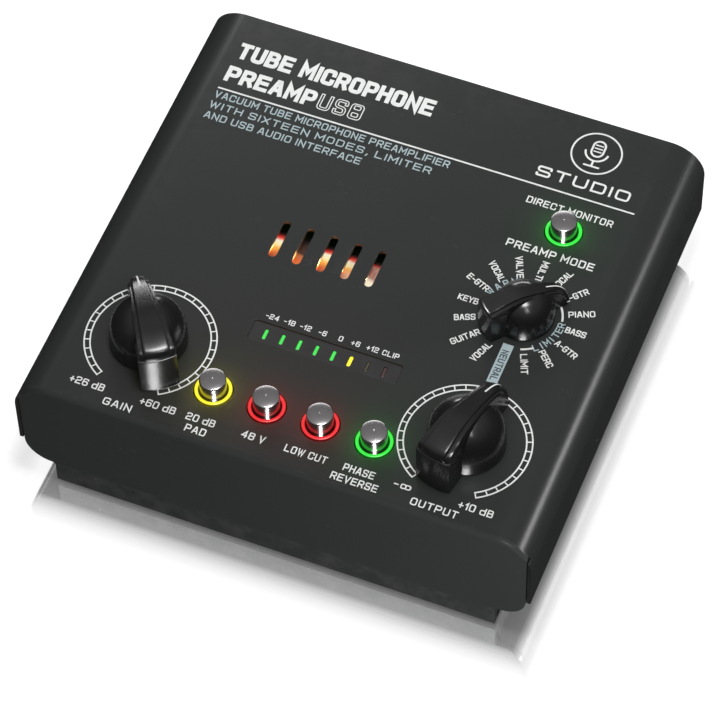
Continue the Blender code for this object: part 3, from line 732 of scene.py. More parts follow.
def build_base():
    outer = [(PANEL_HALF_W, BASE_HIGH[2])] + lower_side(0.0)
    inner = [(PANEL_HALF_W - SHEET, BASE_HIGH[2])] + lower_side(SHEET)
    section = mirrored(outer) + mirrored(inner)[::-1]
    tray = prism("base_tray", section, BASE_LOW[1], BASE_HIGH[1], "y")
    holes = [circle(*plan_mm("base_screw_%d" % i), 1.7, 32) for i in range(1, 5)]
    cut(tray, *[prism("tool", hole, BASE_Z - 2.0, BASE_Z + 3.0) for hole in holes])
    return coat(tray, BASE_PAINT, ["base_pan"], PLATE_EDGE, 2)


def build_feet_and_screws():
    for i in range(1, 5):
        node = "foot_%d" % i
        x, y = plan_mm(node)
        low, high = box_mm(node)
        r = half_mm(node)
        profile = [(r - 1.9, 0.25), (r - 1.6, 0.0), (r - 0.7, 0.0), (r - 0.25, 0.12), (r, 0.45),
                   (r, high[2] - 0.1), (r - 0.1, high[2])]
        foot = lathe("rubber_foot_%d" % i, (x, y), profile, 64)
        coat(foot, RUBBER, [node])
        node = "base_screw_%d" % i
        x, y = plan_mm(node)
        low, high = box_mm(node)
        r = half_mm(node)
        top = low[2] + 0.9
        profile = [(r - 1.0, low[2]), (r - 0.5, low[2] + 0.1), (r - 0.15, low[2] + 0.35),
                   (r, low[2] + 0.65), (r, top), (1.3, top), (1.3, high[2])]
        screw = lathe("case_screw_%d" % i, (x, y), profile, 48)
        reach, half = 1.45, 0.3
        arm = box("tool", x - reach, x + reach, y - half, y + half, low[2] - 2.0, low[2] + 0.6)
        arm_b = box("tool", x - half, x + half, y - reach, y + reach, low[2] - 2.0, low[2] + 0.59)
        cut(screw, arm, arm_b)
        coat(screw, ZINC_BLACK, [node])


# ---------------------------------------------------------------- knobs
# side profiles of the pointer: distance along it from the tail, and height above the cover
RIDGE_POINTS = ((-15.12, 0.4), (-15.12, 5.0), (-15.1, 9.5), (-15.06, 12.5), (-14.98, 13.35),
                (-14.8, 13.95), (-14.45, 14.45), (-13.9, 14.8), (-13.0, 15.1), (-11.2, 15.5),
                (-9.0, 15.85), (-6.8, 16.0), (-4.3, 15.95), (-1.5, 15.5), (2.0, 14.4),
                (5.5, 13.1), (8.6, 11.8), (11.2, 10.45), (13.2, 8.7), (14.8, 6.3), (15.9, 3.4),
                (16.3, 1.4), (16.4, 0.4))
FOOT_POINTS = ((-15.3, 0.4), (-15.3, 11.9), (-15.24, 12.15), (-15.05, 12.25), (-14.0, 12.3),
               (-12.0, 12.3), (-9.0, 12.0), (-9.0, 0.4))
DOME_POINTS = ((9.72, 1.6), (9.66, 3.4), (9.38, 5.7), (8.6, 8.1), (7.05, 10.35), (4.6, 12.1),
               (1.6, 13.0), (0.05, 13.1))
SKIRT_POINTS = [(9.5, 0.4), (9.66, 0.44), (9.72, 0.6), (9.72, 1.0)]
# half widths at the tail and at the nose
RIDGE_HALF_W = (3.2, 1.4)
BAR_HALF_W = (4.5, 2.05)
GROOVE_HALF_W = (3.52, 1.7)
FOOT_HALF_W = (4.7, 3.8)
RIDGE_EDGE = 0.28
BAR_EDGE = 0.4
SEAT = 0.4
TAIL_R = 15.3
TAIL_U, NOSE_U = -15.3, 16.4
SMALL_RIDGE_DROP = 0.94
# white line: from this far along the bar, down to this height, and its width
LINE_START, LINE_LOW, LINE_W = 7.2, 1.6, 0.38
LEDGE = 0.95
DRAFT = 0.3


def smooth_path(points, per_span):
    """Catmull-Rom curve through the points."""
    path = []
    count = len(points)
    for i in range(count - 1):
        p0 = points[max(i - 1, 0)]
        p1 = points[i]
        p2 = points[i + 1]
        p3 = points[min(i + 2, count - 1)]
        for k in range(per_span):
            t = k / per_span
            path.append(tuple(0.5 * (2 * b + (c - a) * t + (2 * a - 5 * b + 4 * c - d) * t * t
                                     + (3 * b - a - 3 * c + d) * t ** 3)
                              for a, b, c, d in zip(p0, p1, p2, p3)))
    path.append(points[-1])
    return path


def offset_path(path, distance, flush=None):
    """The same profile moved inwards by distance, and only by flush down the tail wall."""
    moved = []
    full = distance
    for i, (u, h) in enumerate(path):
        if flush is not None and u < -10.0:
            distance = flush + (full - flush) * rise(h, 12.0, 3.5)
        else:
            distance = full
        a = path[max(i - 1, 0)]
        b = path[min(i + 1, len(path) - 1)]
        du, dh = b[0] - a[0], b[1] - a[1]
        size = math.hypot(du, dh)
        moved.append((u + distance * dh / size, h - distance * du / size))
    return moved


def wedge(name, profile, widths, strips, nose_r, draft=0.0):
    """Bar with this side profile; its sides lean by the draft and its two ends bow outwards."""
    wide, narrow = widths

    def half(u):
        return wide + (narrow - wide) * (u - TAIL_U) / (NOSE_U - TAIL_U)

    verts = []
    for s in range(strips + 1):
        share = 2 * s / strips - 1
        for u, h in profile:
            v = share * half(u)
            if u < 0:
                shifted = u + (TAIL_R - math.sqrt(TAIL_R ** 2 - v ** 2)) * rise(-u, 8.0, 5.0)
            else:
                bow = nose_r - math.sqrt(max(0.0, nose_r ** 2 - v ** 2))
                shifted = u - bow * rise(u, 9.0, 5.0)
            flare = draft * max(0.0, 1.0 - h / 14.0)
            verts.append((share * (half(shifted) + flare), shifted, h))
    count = len(profile)
    faces = []
    for s in range(strips):
        for i in range(count - 1):
            a = s * count + i
            faces.append([a, a + 1, a + 1 + count, a + count])
        faces.append([s * count, (s + 1) * count, (s + 2) * count - 1, (s + 1) * count - 1])
    faces.append(list(range(count)))
    faces.append(list(range(strips * count, (strips + 1) * count)))
    return new_object(name, verts, faces)


def pointer_line(name, path):
    """Thin white inlay that follows the top of the ridge."""
    points = [p for p in path if p[0] >= LINE_START and p[1] >= LINE_LOW]
    outer = offset_path(points, -0.035)
    inner = offset_path(points, 0.12)
    verts = []
    for row in (outer, inner):
        for u, h in row:
            verts += [(-LINE_W / 2, u, h), (LINE_W / 2, u, h)]
    n = len(points)
    faces = []
    for i in range(n - 1):
        a, b = 2 * i, 2 * n + 2 * i
        faces += [[a, a + 1, a + 3, a + 2], [b, b + 2, b + 3, b + 1],
                  [a, a + 2, b + 2, b], [a + 1, b + 1, b + 3, a + 3]]
    faces += [[0, 2 * n, 2 * n + 1, 1], [2 * n - 2, 2 * n - 1, 4 * n - 1, 4 * n - 2]]
    return new_object(name, verts, faces)


def build_knob(name):
    size, angle = KNOBS[name]
    x, y = knob_centre(name)
    turn = Matrix.Translation((x * MM, y * MM, TOP * MM))
    turn = turn @ Matrix.Rotation(math.radians(-angle), 4, "Z")
    grow = Matrix.Translation((0, 0, SEAT * MM)) @ Matrix.Scale(size, 4)
    grow = grow @ Matrix.Translation((0, 0, -SEAT * MM))
    lower, grown = (SMALL_RIDGE_DROP, SMALL_DOME_GROW) if size < 1.0 else (1.0, 1.0)
    path = smooth_path([(r, SEAT + (h - SEAT) * lower) for r, h in RIDGE_POINTS], 4)
    ridge = wedge("ridge", path, RIDGE_HALF_W, 10, 4.2)
    inner = [p for p in offset_path(path, LEDGE, 0.05) if p[1] >= SEAT]
    inner = [(inner[0][0], SEAT)] + inner + [(inner[-1][0], SEAT)]
    bar = wedge("bar", inner, BAR_HALF_W, 12, 4.6, DRAFT)
    foot = wedge("foot", FOOT_POINTS, FOOT_HALF_W, 12, 4.6, 0.1)
    # near-black strips along both sides of the ridge: painted shadow in the groove between ridge
    # and ledge
    gap = [p for p in offset_path(path, LEDGE - 0.06, 0.10) if p[1] >= SEAT]
    groove = wedge(name + "_knob_groove", gap, GROOVE_HALF_W, 8, 4.3)
    profile = SKIRT_POINTS + smooth_path(DOME_POINTS, 5)
    dome = lathe("dome", (0.0, 0.0), [(r * grown, h) for r, h in profile], 96)
    for part, edge in ((ridge, RIDGE_EDGE), (bar, BAR_EDGE)):
        mod = part.modifiers.new("round", "BEVEL")
        mod.width = edge * MM
        mod.segments = 4
        mod.limit_method = "ANGLE"
        mod.angle_limit = math.radians(40)
        bake(part, mod)
    knob = merge(name + "_pointer_knob", [dome, bar, foot, ridge])
    line = pointer_line(name + "_pointer_line", path)
    for obj in (knob, line, groove):
        obj.data.transform(turn @ grow)
        centre_origin(obj, x, y, TOP)
        soften(obj)
    body = name + "_control"
    dress(line, PRINT_WHITE, body=body)
    dress(groove, SHADOW_GAP, body=body)
    return dress(knob, KNOB_BLACK, [name + "_knob"], body)


# ---------------------------------------------------------------- push switches
def build_button(name):
    x, y = plan_mm(name + "_button")
    low, high = box_mm(name + "_button")
    r = half_mm(name + "_button")
    top = high[2]
    edge, crown = 0.24, 0.30
    profile = [(1.5, low[2]), (1.5, TOP - 2.0), (r - 0.15, TOP - 1.95), (r, TOP - 1.8)]
    for k in range(13):
        a = math.radians(6 * k)
        profile.append((r - edge * (1 - math.cos(a)), top - crown - edge * (1 - math.sin(a))))
    flat = r - edge * (1 - math.cos(math.radians(72)))
    for k in range(1, 29):
        share = 1 - k / 30
        profile.append((flat * share, top - crown * share ** 2.6))
    profile += [(0.28, top - 0.005), (0.17, top - 0.06), (0.05, top - 0.08)]
    cap = lathe(name + "_cap", (x, y), profile, 128)
    centre_origin(cap, x, y, top)
    coat(cap, CAP_METAL, [name + "_button"], body=name + "_push")
    low, high = box_mm(name + "_ring")
    r_out, r_in = half_mm(name + "_ring"), 3.5
    down, up = low[2], high[2]
    profile = [(r_out, down), (r_out, up - 0.22), (r_out - 0.06, up - 0.07), (r_out - 0.20, up),
               (r_out - 0.72, up), (r_out - 0.84, up - 0.05), (r_in + 0.22, up - 0.40),
               (r_in + 0.06, up - 0.8), (r_in, up - 1.2), (r_in, down)]
    ring = lathe(name + "_light_ring", (x, y), profile, 96, "z", True)
    coat(ring, RING_LIGHT[name], [name + "_ring"])
    return cap


# ---------------------------------------------------------------- meter
BAR_SIZE = (0.86, 3.0)
BAR_BODY = (2.2, 4.0)
LENS_GROW = 0.44
BAR_KINDS = ["green"] * 5 + ["yellow", "amber", "red"]


def build_meter():
    low, high = box_mm("meter_window")
    window = prism("meter_lens", window_outline(LENS_GROW, 0.7), low[2], high[2])
    w, h = BAR_SIZE
    tools = []
    for i in range(len(BAR_KINDS)):
        ring = rounded(*plan_mm("meter_led_%d" % (i + 1)), w + 0.1, h + 0.1, w / 2 - 0.06, 8)
        tools.append(prism("tool", ring, low[2] - 2.0, high[2] + 2.0))
    cut(window, *tools)
    coat(window, SMOKED, ["meter_window"], 0.08, 2)
    for i, kind in enumerate(BAR_KINDS):
        node = "meter_led_%d" % (i + 1)
        x, y = plan_mm(node)
        low, high = box_mm(node)
        foot, top = low[2], high[2]
        rings = [(foot, rounded(x, y, *BAR_BODY, 0.3, 8)),
                 (foot + 4.4, rounded(x, y, *BAR_BODY, 0.3, 8)),
                 (foot + 4.5, rounded(x, y, w, h, w / 2 - 0.1, 8)),
                 (top - 0.22, rounded(x, y, w, h, w / 2 - 0.1, 8)),
                 (top - 0.07, rounded(x, y, w - 0.08, h - 0.08, w / 2 - 0.12, 8)),
                 (top, rounded(x, y, w - 0.3, h - 0.3, w / 2 - 0.22, 8))]
        bar = loft("meter_bar_%d" % (i + 1), rings)
        coat(bar, BAR_LIGHT[kind], [node])


# ---------------------------------------------------------------- lettering
# Strokes of each letter in a cell one unit wide and high; r marks a rounded corner.
GLYPHS = {
    "A": "0,0 .4,1 .6,1 1,0|.16,.3 .84,.3",
    "B": "0,0 0,1|0,1 .94,1r .94,.53r .1,.53|.3,.53 1,.53r 1,0r 0,0",
    "C": "1,.74 1,1r 0,1r 0,0r 1,0r 1,.26",
    "D": "0,0 0,1|0,1 1,1r 1,0r 0,0",
    "E": "0,0 0,1|0,1 1,1|0,.52 .92,.52|0,0 1,0",
    "F": "0,0 0,1|0,1 1,1|0,.5 .9,.5",
    "G": "1,.80 1,1r 0,1r 0,0r 1,0r 1,.47|.98,.47 .58,.47",
    "H": "0,0 0,1|1,0 1,1|0,.52 1,.52",
    "I": "0,0 0,1",
    "K": "0,0 0,1|.95,1 .1,.5 1,0",
    "L": "0,1 0,0|0,0 1,0",
    "M": "0,0 0,1 .5,.35 1,1 1,0",
    "N": "0,0 0,1 1,0 1,1",
    "O": "0,.5 0,1r 1,1r 1,0r 0,0r 0,.5",
    "P": "0,0 0,1|0,1 1,1r 1,.42r .1,.42",
    "R": "0,0 0,1|0,1 1,1r 1,.44r .1,.44|.62,.44 1,0",
    "S": "1,.80 1,1r 0,1r 0,.53r 1,.47r 1,0r 0,0r 0,.20",
    "T": "0,1 1,1|.5,1 .5,0",
    "U": "0,1 0,0r 1,0r 1,1",
    "V": "0,1 .5,0 1,1",
    "W": "0,1 .25,0 .5,.85 .75,0 1,1",
    "X": "0,0 1,1|0,1 1,0",
    "Y": "0,1 .5,.48 1,1|.5,.48 .5,0",
    "d": "1,1 1,0|1,0 0,0r 0,.66r .9,.66",
    "0": "0,.5 0,1r 1,1r 1,0r 0,0r 0,.5",
    "1": "0,.72 .38,1 .38,0",
    "2": "0,.80 0,1r 1,1r 1,.52r 0,.44r 0,0|0,0 1,0",
    "4": ".78,0 .78,1 0,.3 1,.3",
    "6": "1,.86 1,1r 0,1r 0,0r 1,0r 1,.57r .1,.57",
    "8": "0,.8 0,1r 1,1r 1,.53r 0,.53r 0,.8|0,.25 0,.52r 1,.52r 1,0r 0,0r 0,.25",
    "+": "0,.42 .8,.42|.4,.08 .4,.78",
    "-": "0,.45 .6,.45",
    "~": "0,.4 0,.72r .8,.72r .8,.1r 0,.1r 0,.4|.8,.4 .8,.72r 1.6,.72r 1.6,.1r .8,.1r .8,.4",
    ",": ".2,.08 .05,-.2",
}
NARROW = {"I": 0.0, "1": 0.38, "+": 0.8, "-": 0.6, "~": 1.6, ",": 0.2}
WIDE = {"M": 1.22, "W": 1.35}
WORD_SPACE = 0.12


def glyph_width(letter):
    return NARROW.get(letter, WIDE.get(letter, 1.0))


def round_corners(points, radius):
    """Replaces each marked corner with an arc."""
    path = []
    for i, (x, y, is_round) in enumerate(points):
        if not is_round or i in (0, len(points) - 1):
            path.append((x, y))
            continue
        ax, ay = points[i - 1][0] - x, points[i - 1][1] - y
        bx, by = points[i + 1][0] - x, points[i + 1][1] - y
        la, lb = math.hypot(ax, ay), math.hypot(bx, by)
        cut_back = min(radius, la * 0.5, lb * 0.5)
        start = (x + ax / la * cut_back, y + ay / la * cut_back)
        end = (x + bx / lb * cut_back, y + by / lb * cut_back)
        for k in range(5):
            t = k / 4
            path.append(((1 - t) ** 2 * start[0] + 2 * t * (1 - t) * x + t * t * end[0],
                         (1 - t) ** 2 * start[1] + 2 * t * (1 - t) * y + t * t * end[1]))
    return path


def glyph_strokes(letter, width, height, corner):
    strokes = []
    for part in GLYPHS[letter].split("|"):
        points = []
        for word in part.split():
            is_round = word.endswith("r")
            u, v = word.rstrip("r").split(",")
            scale = width * WIDE.get(letter, 1.0)
            points.append((float(u) * scale, float(v) * height, is_round))
        strokes.append(round_corners(points, corner))
    return strokes


def text_strokes(text, height, total=None, pen=0.3, spacing=0.42, aspect=0.72):
    """Strokes of a line of words and its width; total squeezes or stretches it to fit."""
    cap = height - pen
    widths = [WORD_SPACE if letter == " " else glyph_width(letter) for letter in text]
    cell = cap * aspect
    gap = cap * spacing
    if total:
        cell = (total - pen) / (sum(widths) + (len(text) - 1) * spacing / aspect)
        gap = cell * spacing / aspect
    strokes = []
    at = pen / 2
    for letter, share in zip(text, widths):
        if letter != " ":
            corner = max(0.3 * min(cell, cap), 0.75 * pen)
            for stroke in glyph_strokes(letter, cell, cap, corner):
                strokes.append([(x + at, y + pen / 2) for x, y in stroke])
        at += share * cell + gap
    return strokes, at - gap + pen / 2


def transform(strokes, x, y, angle=0.0, shift=0.0):
    """Moves strokes to (x, y), turned by angle; shift slides them along their own line."""
    a = math.radians(angle)
    ca, sa = math.cos(a), math.sin(a)
    return [[(x + (u + shift) * ca - v * sa, y + (u + shift) * sa + v * ca) for u, v in stroke]
            for stroke in strokes]


def ribbon(stroke, pen, extend=True):
    """Left and right edges of a pen stroke, with mitred corners."""
    points = [stroke[0]]
    for p in stroke[1:]:
        if math.dist(p, points[-1]) > 1e-4:
            points.append(p)
    closed = math.dist(points[0], points[-1]) < 1e-3
    if closed:
        points = points[:-1]
    count = len(points)
    left, right = [], []
    for i in range(count):
        here = points[i]
        before = points[i - 1] if (closed or i > 0) else None
        after = points[(i + 1) % count] if (closed or i < count - 1) else None
        dirs = []
        for a, b in ((before, here), (here, after)):
            if a and b:
                size = math.dist(a, b)
                dirs.append(((b[0] - a[0]) / size, (b[1] - a[1]) / size))
        dx = sum(d[0] for d in dirs)
        dy = sum(d[1] for d in dirs)
        size = math.hypot(dx, dy) or 1.0
        dx, dy = dx / size, dy / size
        half_angle = max(0.35, dx * dirs[0][0] + dy * dirs[0][1])
        reach = pen / 2 / half_angle
        px, py = here
        if extend and not (before and after):
            sign = 1 if before else -1
            px += sign * dx * pen / 2 * 0.9
            py += sign * dy * pen / 2 * 0.9
        left.append((px - dy * reach, py + dx * reach))
        right.append((px + dy * reach, py - dx * reach))
    return left, right, closed


class Print:
    """Collects flat printed strokes and turns them into one thin raised piece."""

    def __init__(self, name, material, base_z=TOP):
        self.name = name
        self.material = material
        self.verts = []
        self.faces = []
        self.base = base_z
        self.layer = 0

    def add(self, strokes, pen, extend=True):
        """Each stroke and point lies a hair above the last, so that no two faces coincide."""
        for stroke in strokes:
            left, right, closed = ribbon(stroke, pen, extend)
            self.layer += 1
            low = self.base - PRINT_SINK
            start = len(self.verts)
            for k, (p, q) in enumerate(zip(left, right)):
                high = self.base + PRINT_LIFT + (self.layer % 5) * 0.0012 + (k % 40) * 0.0001
                self.verts += [(p[0], p[1], high), (q[0], q[1], high),
                               (q[0], q[1], low), (p[0], p[1], low)]
            count = len(left)
            for i in range(count if closed else count - 1):
                a = start + 4 * i
                b = start + 4 * ((i + 1) % count)
                self.faces += [[a + k, b + k, b + (k + 1) % 4, a + (k + 1) % 4] for k in range(4)]
            if not closed:
                end = start + 4 * (count - 1)
                self.faces += [list(range(start, start + 4)), list(range(end, end + 4))[::-1]]
        return self

    def loop(self, outline, pen):
        """An outline drawn as a closed stroke."""
        return self.add([outline + [outline[0]]], pen)

    def patch(self, outline):
        """A filled printed area."""
        start = len(self.verts)
        count = len(outline)
        for z in (self.base + PATCH_LIFT, self.base - PRINT_SINK):
            self.verts += [(u, v, z) for u, v in outline]
        self.faces += [list(range(start + at, start + at + count)) for at in (0, count)]
        for i in range(count):
            j = (i + 1) % count
            self.faces.append([start + i, start + j, start + count + j, start + count + i])
        return self

    def words(self, text, x, y, height, total=None, pen=0.3, centred=False, **kw):
        strokes, width = text_strokes(text, height, total, pen, **kw)
        return self.add(transform(strokes, x, y, 0.0, -width / 2 if centred else 0.0), pen)

    def finish(self):
        piece = new_object(self.name, self.verts, self.faces)
        return dress(piece, self.material)


def dial_point(cx, cy, radius, angle):
    """Point on a dial; angles run clockwise from the back."""
    a = math.radians(angle)
    return cx + radius * math.sin(a), cy + radius * math.cos(a)


def ring_points(cx, cy, radius, a0, a1, step=3.0):
    count = max(2, int(abs(a1 - a0) / step) + 1)
    return [dial_point(cx, cy, radius, a0 + (a1 - a0) * k / count) for k in range(count + 1)]


def print_scales():
    ink = Print("print_scales", PRINT_WHITE)
    outer, inner = 16.3, 14.85
    for name in ("gain", "output"):
        x, y = DIAL_CENTRES[name]
        for radius in (outer, inner):
            ink.add([ring_points(x, y, radius, -150, 150)], 0.37)
        for k in range(31):
            tick = [dial_point(x, y, r, -150 + 10 * k) for r in (inner, outer)]
            ink.add([tick], 0.30, False)
    return ink.finish()


def print_labels():
    ink = Print("print_labels", PRINT_WHITE)
    dy = MID_Y
    row_a, row_b = -57.9 + dy, -61.1 + dy
    for text, x0, x1, y in (("+26 dB", -54.7, -45.6, row_a), ("+60 dB", -36.1, -26.8, row_a),
                            ("GAIN", -44.5, -37.1, row_b), ("20 dB", -23.9, -16.4, row_a),
                            ("PAD", -22.9, -17.5, row_b), ("48 V", -9.4, -3.4, row_a),
                            ("LOW CUT", 1.8, 12.7, row_a), ("PHASE", 17.0, 25.0, row_a),
                            ("REVERSE", 15.0, 27.0, row_b), ("-~", 30.0, 34.4, row_a),
                            ("OUTPUT", 35.5, 47.5, row_b), ("+10 dB", 46.5, 55.3, row_a),
                            ("DIRECT MONITOR", 30.2, 53.0, 32.7 + dy)):
        ink.words(text, x0, y, 2.1, x1 - x0, 0.33)
    ink.words("PREAMP MODE", 30.1, 18.4 + dy, 2.3, 23.0, 0.38)
    for text, x in (("-24", -15.5), ("-18", -10.95), ("-12", -6.7), ("-6", -2.2), ("0", 2.6),
                    ("+6", 6.5), ("+12", 10.95), ("CLIP", 15.7)):
        ink.words(text, x, -23.4 + dy, 1.55, None, 0.25, True, spacing=0.40, aspect=0.64)
    ink.add([[(-55.7, 38.7 + dy), (56.7, 38.7 + dy)]], 0.45)
    return ink.finish()


def print_title():
    ink = Print("print_title", PRINT_WHITE)
    dy = MID_Y
    ink.words("TUBE MICROPHONE", -55.6, 49.2 + dy, 5.25, 53.9, 1.18, spacing=0.46)
    ink.words("PREAMP", -55.7, 41.3 + dy, 5.15, 24.7, 1.18, spacing=0.46)
    hollow_usb(ink, -30.2, 41.3 + dy, 5.1, 12.0)
    return ink.finish()


def hollow_usb(ink, x, y, height, total):
    """The last word of the title, drawn as outlines."""
    line = 0.26
    body = 0.98
    strokes, _ = text_strokes("US", height, total * 0.645, body, spacing=0.5)
    for stroke in transform(strokes, x, y):
        left, right, _ = ribbon(stroke, body - line)
        ink.loop(left + right[::-1], line)
    x0 = x + total * 0.70
    x1 = x + total
    mid = y + height * 0.52
    edge = (body + line) / 2
    outer = rounded((x0 + x1) / 2, y + height / 2, x1 - x0 - line, height - line, 0.9, 4)
    hole_w = x1 - x0 - 2 * body
    hole_h = (height - 3 * body) / 2 + 0.1
    ink.loop(outer, line)
    for low in (y + edge + 0.3, mid + edge):
        ink.loop(rounded((x0 + x1) / 2, low + hole_h / 2, hole_w, hole_h, 0.25, 4), line)


def print_slogan():
    ink = Print("print_slogan", PRINT_BLUE)
    dy = MID_Y
    for text, x1, y in (("VACUUM TUBE MICROPHONE PREAMPLIFIER", 8.3, 35.5),
                        ("WITH SIXTEEN MODES, LIMITER", 4.7, 32.05),
                        ("AND USB AUDIO INTERFACE", -13.0, 28.5)):
        ink.words(text, -55.8, y + dy, 2.2, x1 + 55.8, 0.34, spacing=0.40)
    return ink.finish()


def print_badge():
    """Plain microphone pictogram in a circle above the word STUDIO."""
    ink = Print("print_badge", PRINT_WHITE)
    cx, cy = 41.7, 53.2 + MID_Y
    ink.add([ring_points(cx, cy, 6.4, 0, 360, 5.0)], 0.45)
    ink.loop(rounded(cx, cy + 1.5, 3.1, 4.9, 1.54, 10), 0.5)
    for row in (2.6, 1.6, 0.6):
        ink.add([[(cx - 0.9, cy + row), (cx + 0.9, cy + row)]], 0.36)
    ink.add([ring_points(cx, cy + 0.6, 3.0, 100, 260, 8.0)], 0.5)
    ink.add([[(cx, cy - 2.4), (cx, cy - 4.0)]], 0.5)
    ink.add([[(cx - 1.9, cy - 4.2), (cx + 1.9, cy - 4.2)]], 0.5)
    ink.words("STUDIO", 29.4, 41.5 + MID_Y, 3.3, 24.8, 0.56, spacing=0.5, aspect=1.0)
    return ink.finish()


MODE_WORDS = ("NEUTRAL", "VOCAL", "GUITAR", "BASS", "KEYB", "E-GTR", "VOCAL", "VALVE",
              "MULTI", "VOCAL", "E-GTR", "PIANO", "BASS", "A-GTR", "PERC", "LIMIT")
# length in mm of a word with this many letters; words with an I in them are shorter
MODE_LENGTHS = {4: 5.3, 5: 6.6, 6: 7.8}
MODE_SHORTER = {"MULTI": 0.6, "LIMIT": 0.6}
MODE_NEAR = 11.4


def print_mode_dial():
    ink = Print("print_mode_dial", PRINT_WHITE)
    ghost = Print("print_mode_arcs", PRINT_BLUE)
    dark = Print("print_mode_neutral", PRINT_DARK, TOP + PATCH_LIFT)
    cx, cy = DIAL_CENTRES["mode"]
    height, pen = 1.8, 0.30
    for k, word in enumerate(MODE_WORDS):
        angle = (180.0 + 22.5 * k) % 360
        if angle == 180:
            half, near, far = 1.38, cy - 9.2, cy - 21.2
            ghost.patch([(cx - half, near), (cx + half, near), (cx + half, far), (cx - half, far)])
            strokes, _ = text_strokes(word, height, 9.4, pen)
            dark.add(transform(strokes, cx - 0.9, cy - 11.1, -90.0), pen)
            continue
        length = MODE_LENGTHS[len(word)] - MODE_SHORTER.get(word, 0.0)
        strokes, width = text_strokes(word, height, length, pen, spacing=0.36)
        outward = 0 < angle < 180
        heading = 90 - angle if outward else 270 - angle
        start = MODE_NEAR if outward else MODE_NEAR + width
        x, y = dial_point(cx, cy, start, angle)
        across = math.radians(heading + 90)
        x, y = x - math.cos(across) * height / 2, y - math.sin(across) * height / 2
        ink.add(transform(strokes, x, y, heading), pen)
    curved_word(ghost, "WARM", cx, cy, 9.6, 311.5, 12.6, 1.9)
    curved_word(ghost, "LIMITER", cx, cy, 11.0, 113.4, -9.1, 1.9)
    for a0, a1 in ((52, 78), (144.5, 160.5)):
        ink.add([ring_points(cx, cy, 10.0, a0, a1)], 0.5)
    ghost.finish()
    dark.finish()
    return ink.finish()


def curved_word(ink, word, cx, cy, radius, middle, pitch, height):
    """Word whose feet stand on a circle; with a negative pitch the feet point outwards."""
    first = middle - pitch * (len(word) - 1) / 2
    for k, letter in enumerate(word):
        angle = first + pitch * k
        strokes, width = text_strokes(letter, height, None, 0.3, aspect=0.66)
        turn = -angle if pitch > 0 else 180 - angle
        ink.add(transform(strokes, *dial_point(cx, cy, radius, angle), turn, -width / 2), 0.30)


MIC_LABEL_SHIFT = 10.2


def print_rear_labels():
    """Plain words beside the rear connectors."""
    ink = Print("print_rear_labels", PRINT_WHITE)
    for text, node, height in (("MIC", "input_xlr_shell", 1.5), ("LINE IN", "input_nut", 1.5),
                               ("XLR OUT", "output_xlr_shell", 1.7), ("OUT", "output_nut", 1.5),
                               ("USB", "usb_socket", 1.5), ("DC IN", "power_socket", 1.5)):
        at = box_mm(node)[1][2] + (0.35 if "xlr" in node else 1.2)
        beside = MIC_LABEL_SHIFT if text == "MIC" else 0.0
        strokes, width = text_strokes(text, height, None, 0.28)
        ink.add(transform(strokes, beside - centre_mm(node)[0] - width / 2, at), 0.28)
    verts = [(-u, REAR_HIGH[1] + (w - TOP), v) for u, v, w in ink.verts]
    return dress(new_object(ink.name, verts, ink.faces), PRINT_WHITE)


# ---------------------------------------------------------------- rear connectors
FLANGE_SIZE = (26.0, 30.0, 3.0)
FLANGE_T = 1.8
BARREL_R = 11.7
CONTACTS = ((-3.3, 2.0), (3.3, 2.0), (0.0, -3.4))
PROUD = 4.0


def xlr_parts(side, barrel_length):
    """Flange with a barrel behind it, its middle, and its back and front faces."""
    node = side + "_xlr_shell"
    x, z = face_mm(node)
    y1 = box_mm(node)[1][1]
    y0 = y1 - FLANGE_T
    shell = prism(side + "_xlr_bezel", rounded(x, z, *FLANGE_SIZE, 8), y0, y1, "y")
    join(shell, prism("barrel", circle(x, z, BARREL_R, 72), y0 - barrel_length, y0 + 0.9, "y"))
    return shell, x, z, y0, y1


def finish_xlr(side, shell, x, z, y0, y1, tools):
    """Cuts the openings, then the four screw recesses."""
    profile = [(1.0, y0 + 0.5), (1.0, y1 - 0.5), (2.0, y1 + 0.6)]
    for px, pz in ((-10.4, -11.9), (10.4, -11.9), (-10.4, 11.9), (10.4, 11.9)):
        tools.append(lathe("tool", (x + px, z + pz), profile, 32, "y"))
    cut(shell, *tools)
    coat(shell, BLACK_PLASTIC, [side + "_xlr_shell"], 0.25)


def build_xlr_in():
    shell, x, z, y0, y1 = xlr_parts("input", 22.0)
    out = y1 + PROUD
    tools = [lathe("tool", (x, z), [(9.6, out), (9.6, y0 - 15), (7.6, y0 - 15), (7.6, out)], 72,
                   "y", True),
             box("tool", x - 1.1, x + 1.1, y0 - 14.0, out, z + 5.0, z + 8.4)]
    for px, pz in CONTACTS:
        tools.append(bore(x + px, z + pz, 1.4, y0 - 14.0, out, 32))
    tools.append(box("tool", x - 7.15, x + 7.15, y0 - 1.2, out, z + 9.8, z + 18.0))
    finish_xlr("input", shell, x, z, y0, y1, tools)
    low, high = box_mm("input_xlr_latch")
    half = half_mm("input_xlr_latch")
    y0, y1 = low[1], high[1]
    z0, z1 = low[2], high[2]
    edge, crown = 0.2, 1.5
    outline = [(y0, z0)] + arc(y1 - edge, z0 + edge, edge, -90, 0, 6)
    outline += [(y1, z1 - 1.7)] + arc(y1 - crown, z1 - crown, crown, 0, 90, 8) + [(y0, z1)]
    latch = prism("release_tab", outline, x - half, x + half, "x")
    reach = half - 1.2
    ribs = []
    for k in range(5):
        at = y0 + 0.9 + 0.42 * k
        ribs.append(box("tool", x - reach, x + reach, at - 0.09, at + 0.09, z1 - 0.12, z1 + 2.0))
    cut(latch, *ribs)
    coat(latch, LATCH_PLASTIC, ["input_xlr_latch"], 0.25, body="input_release")


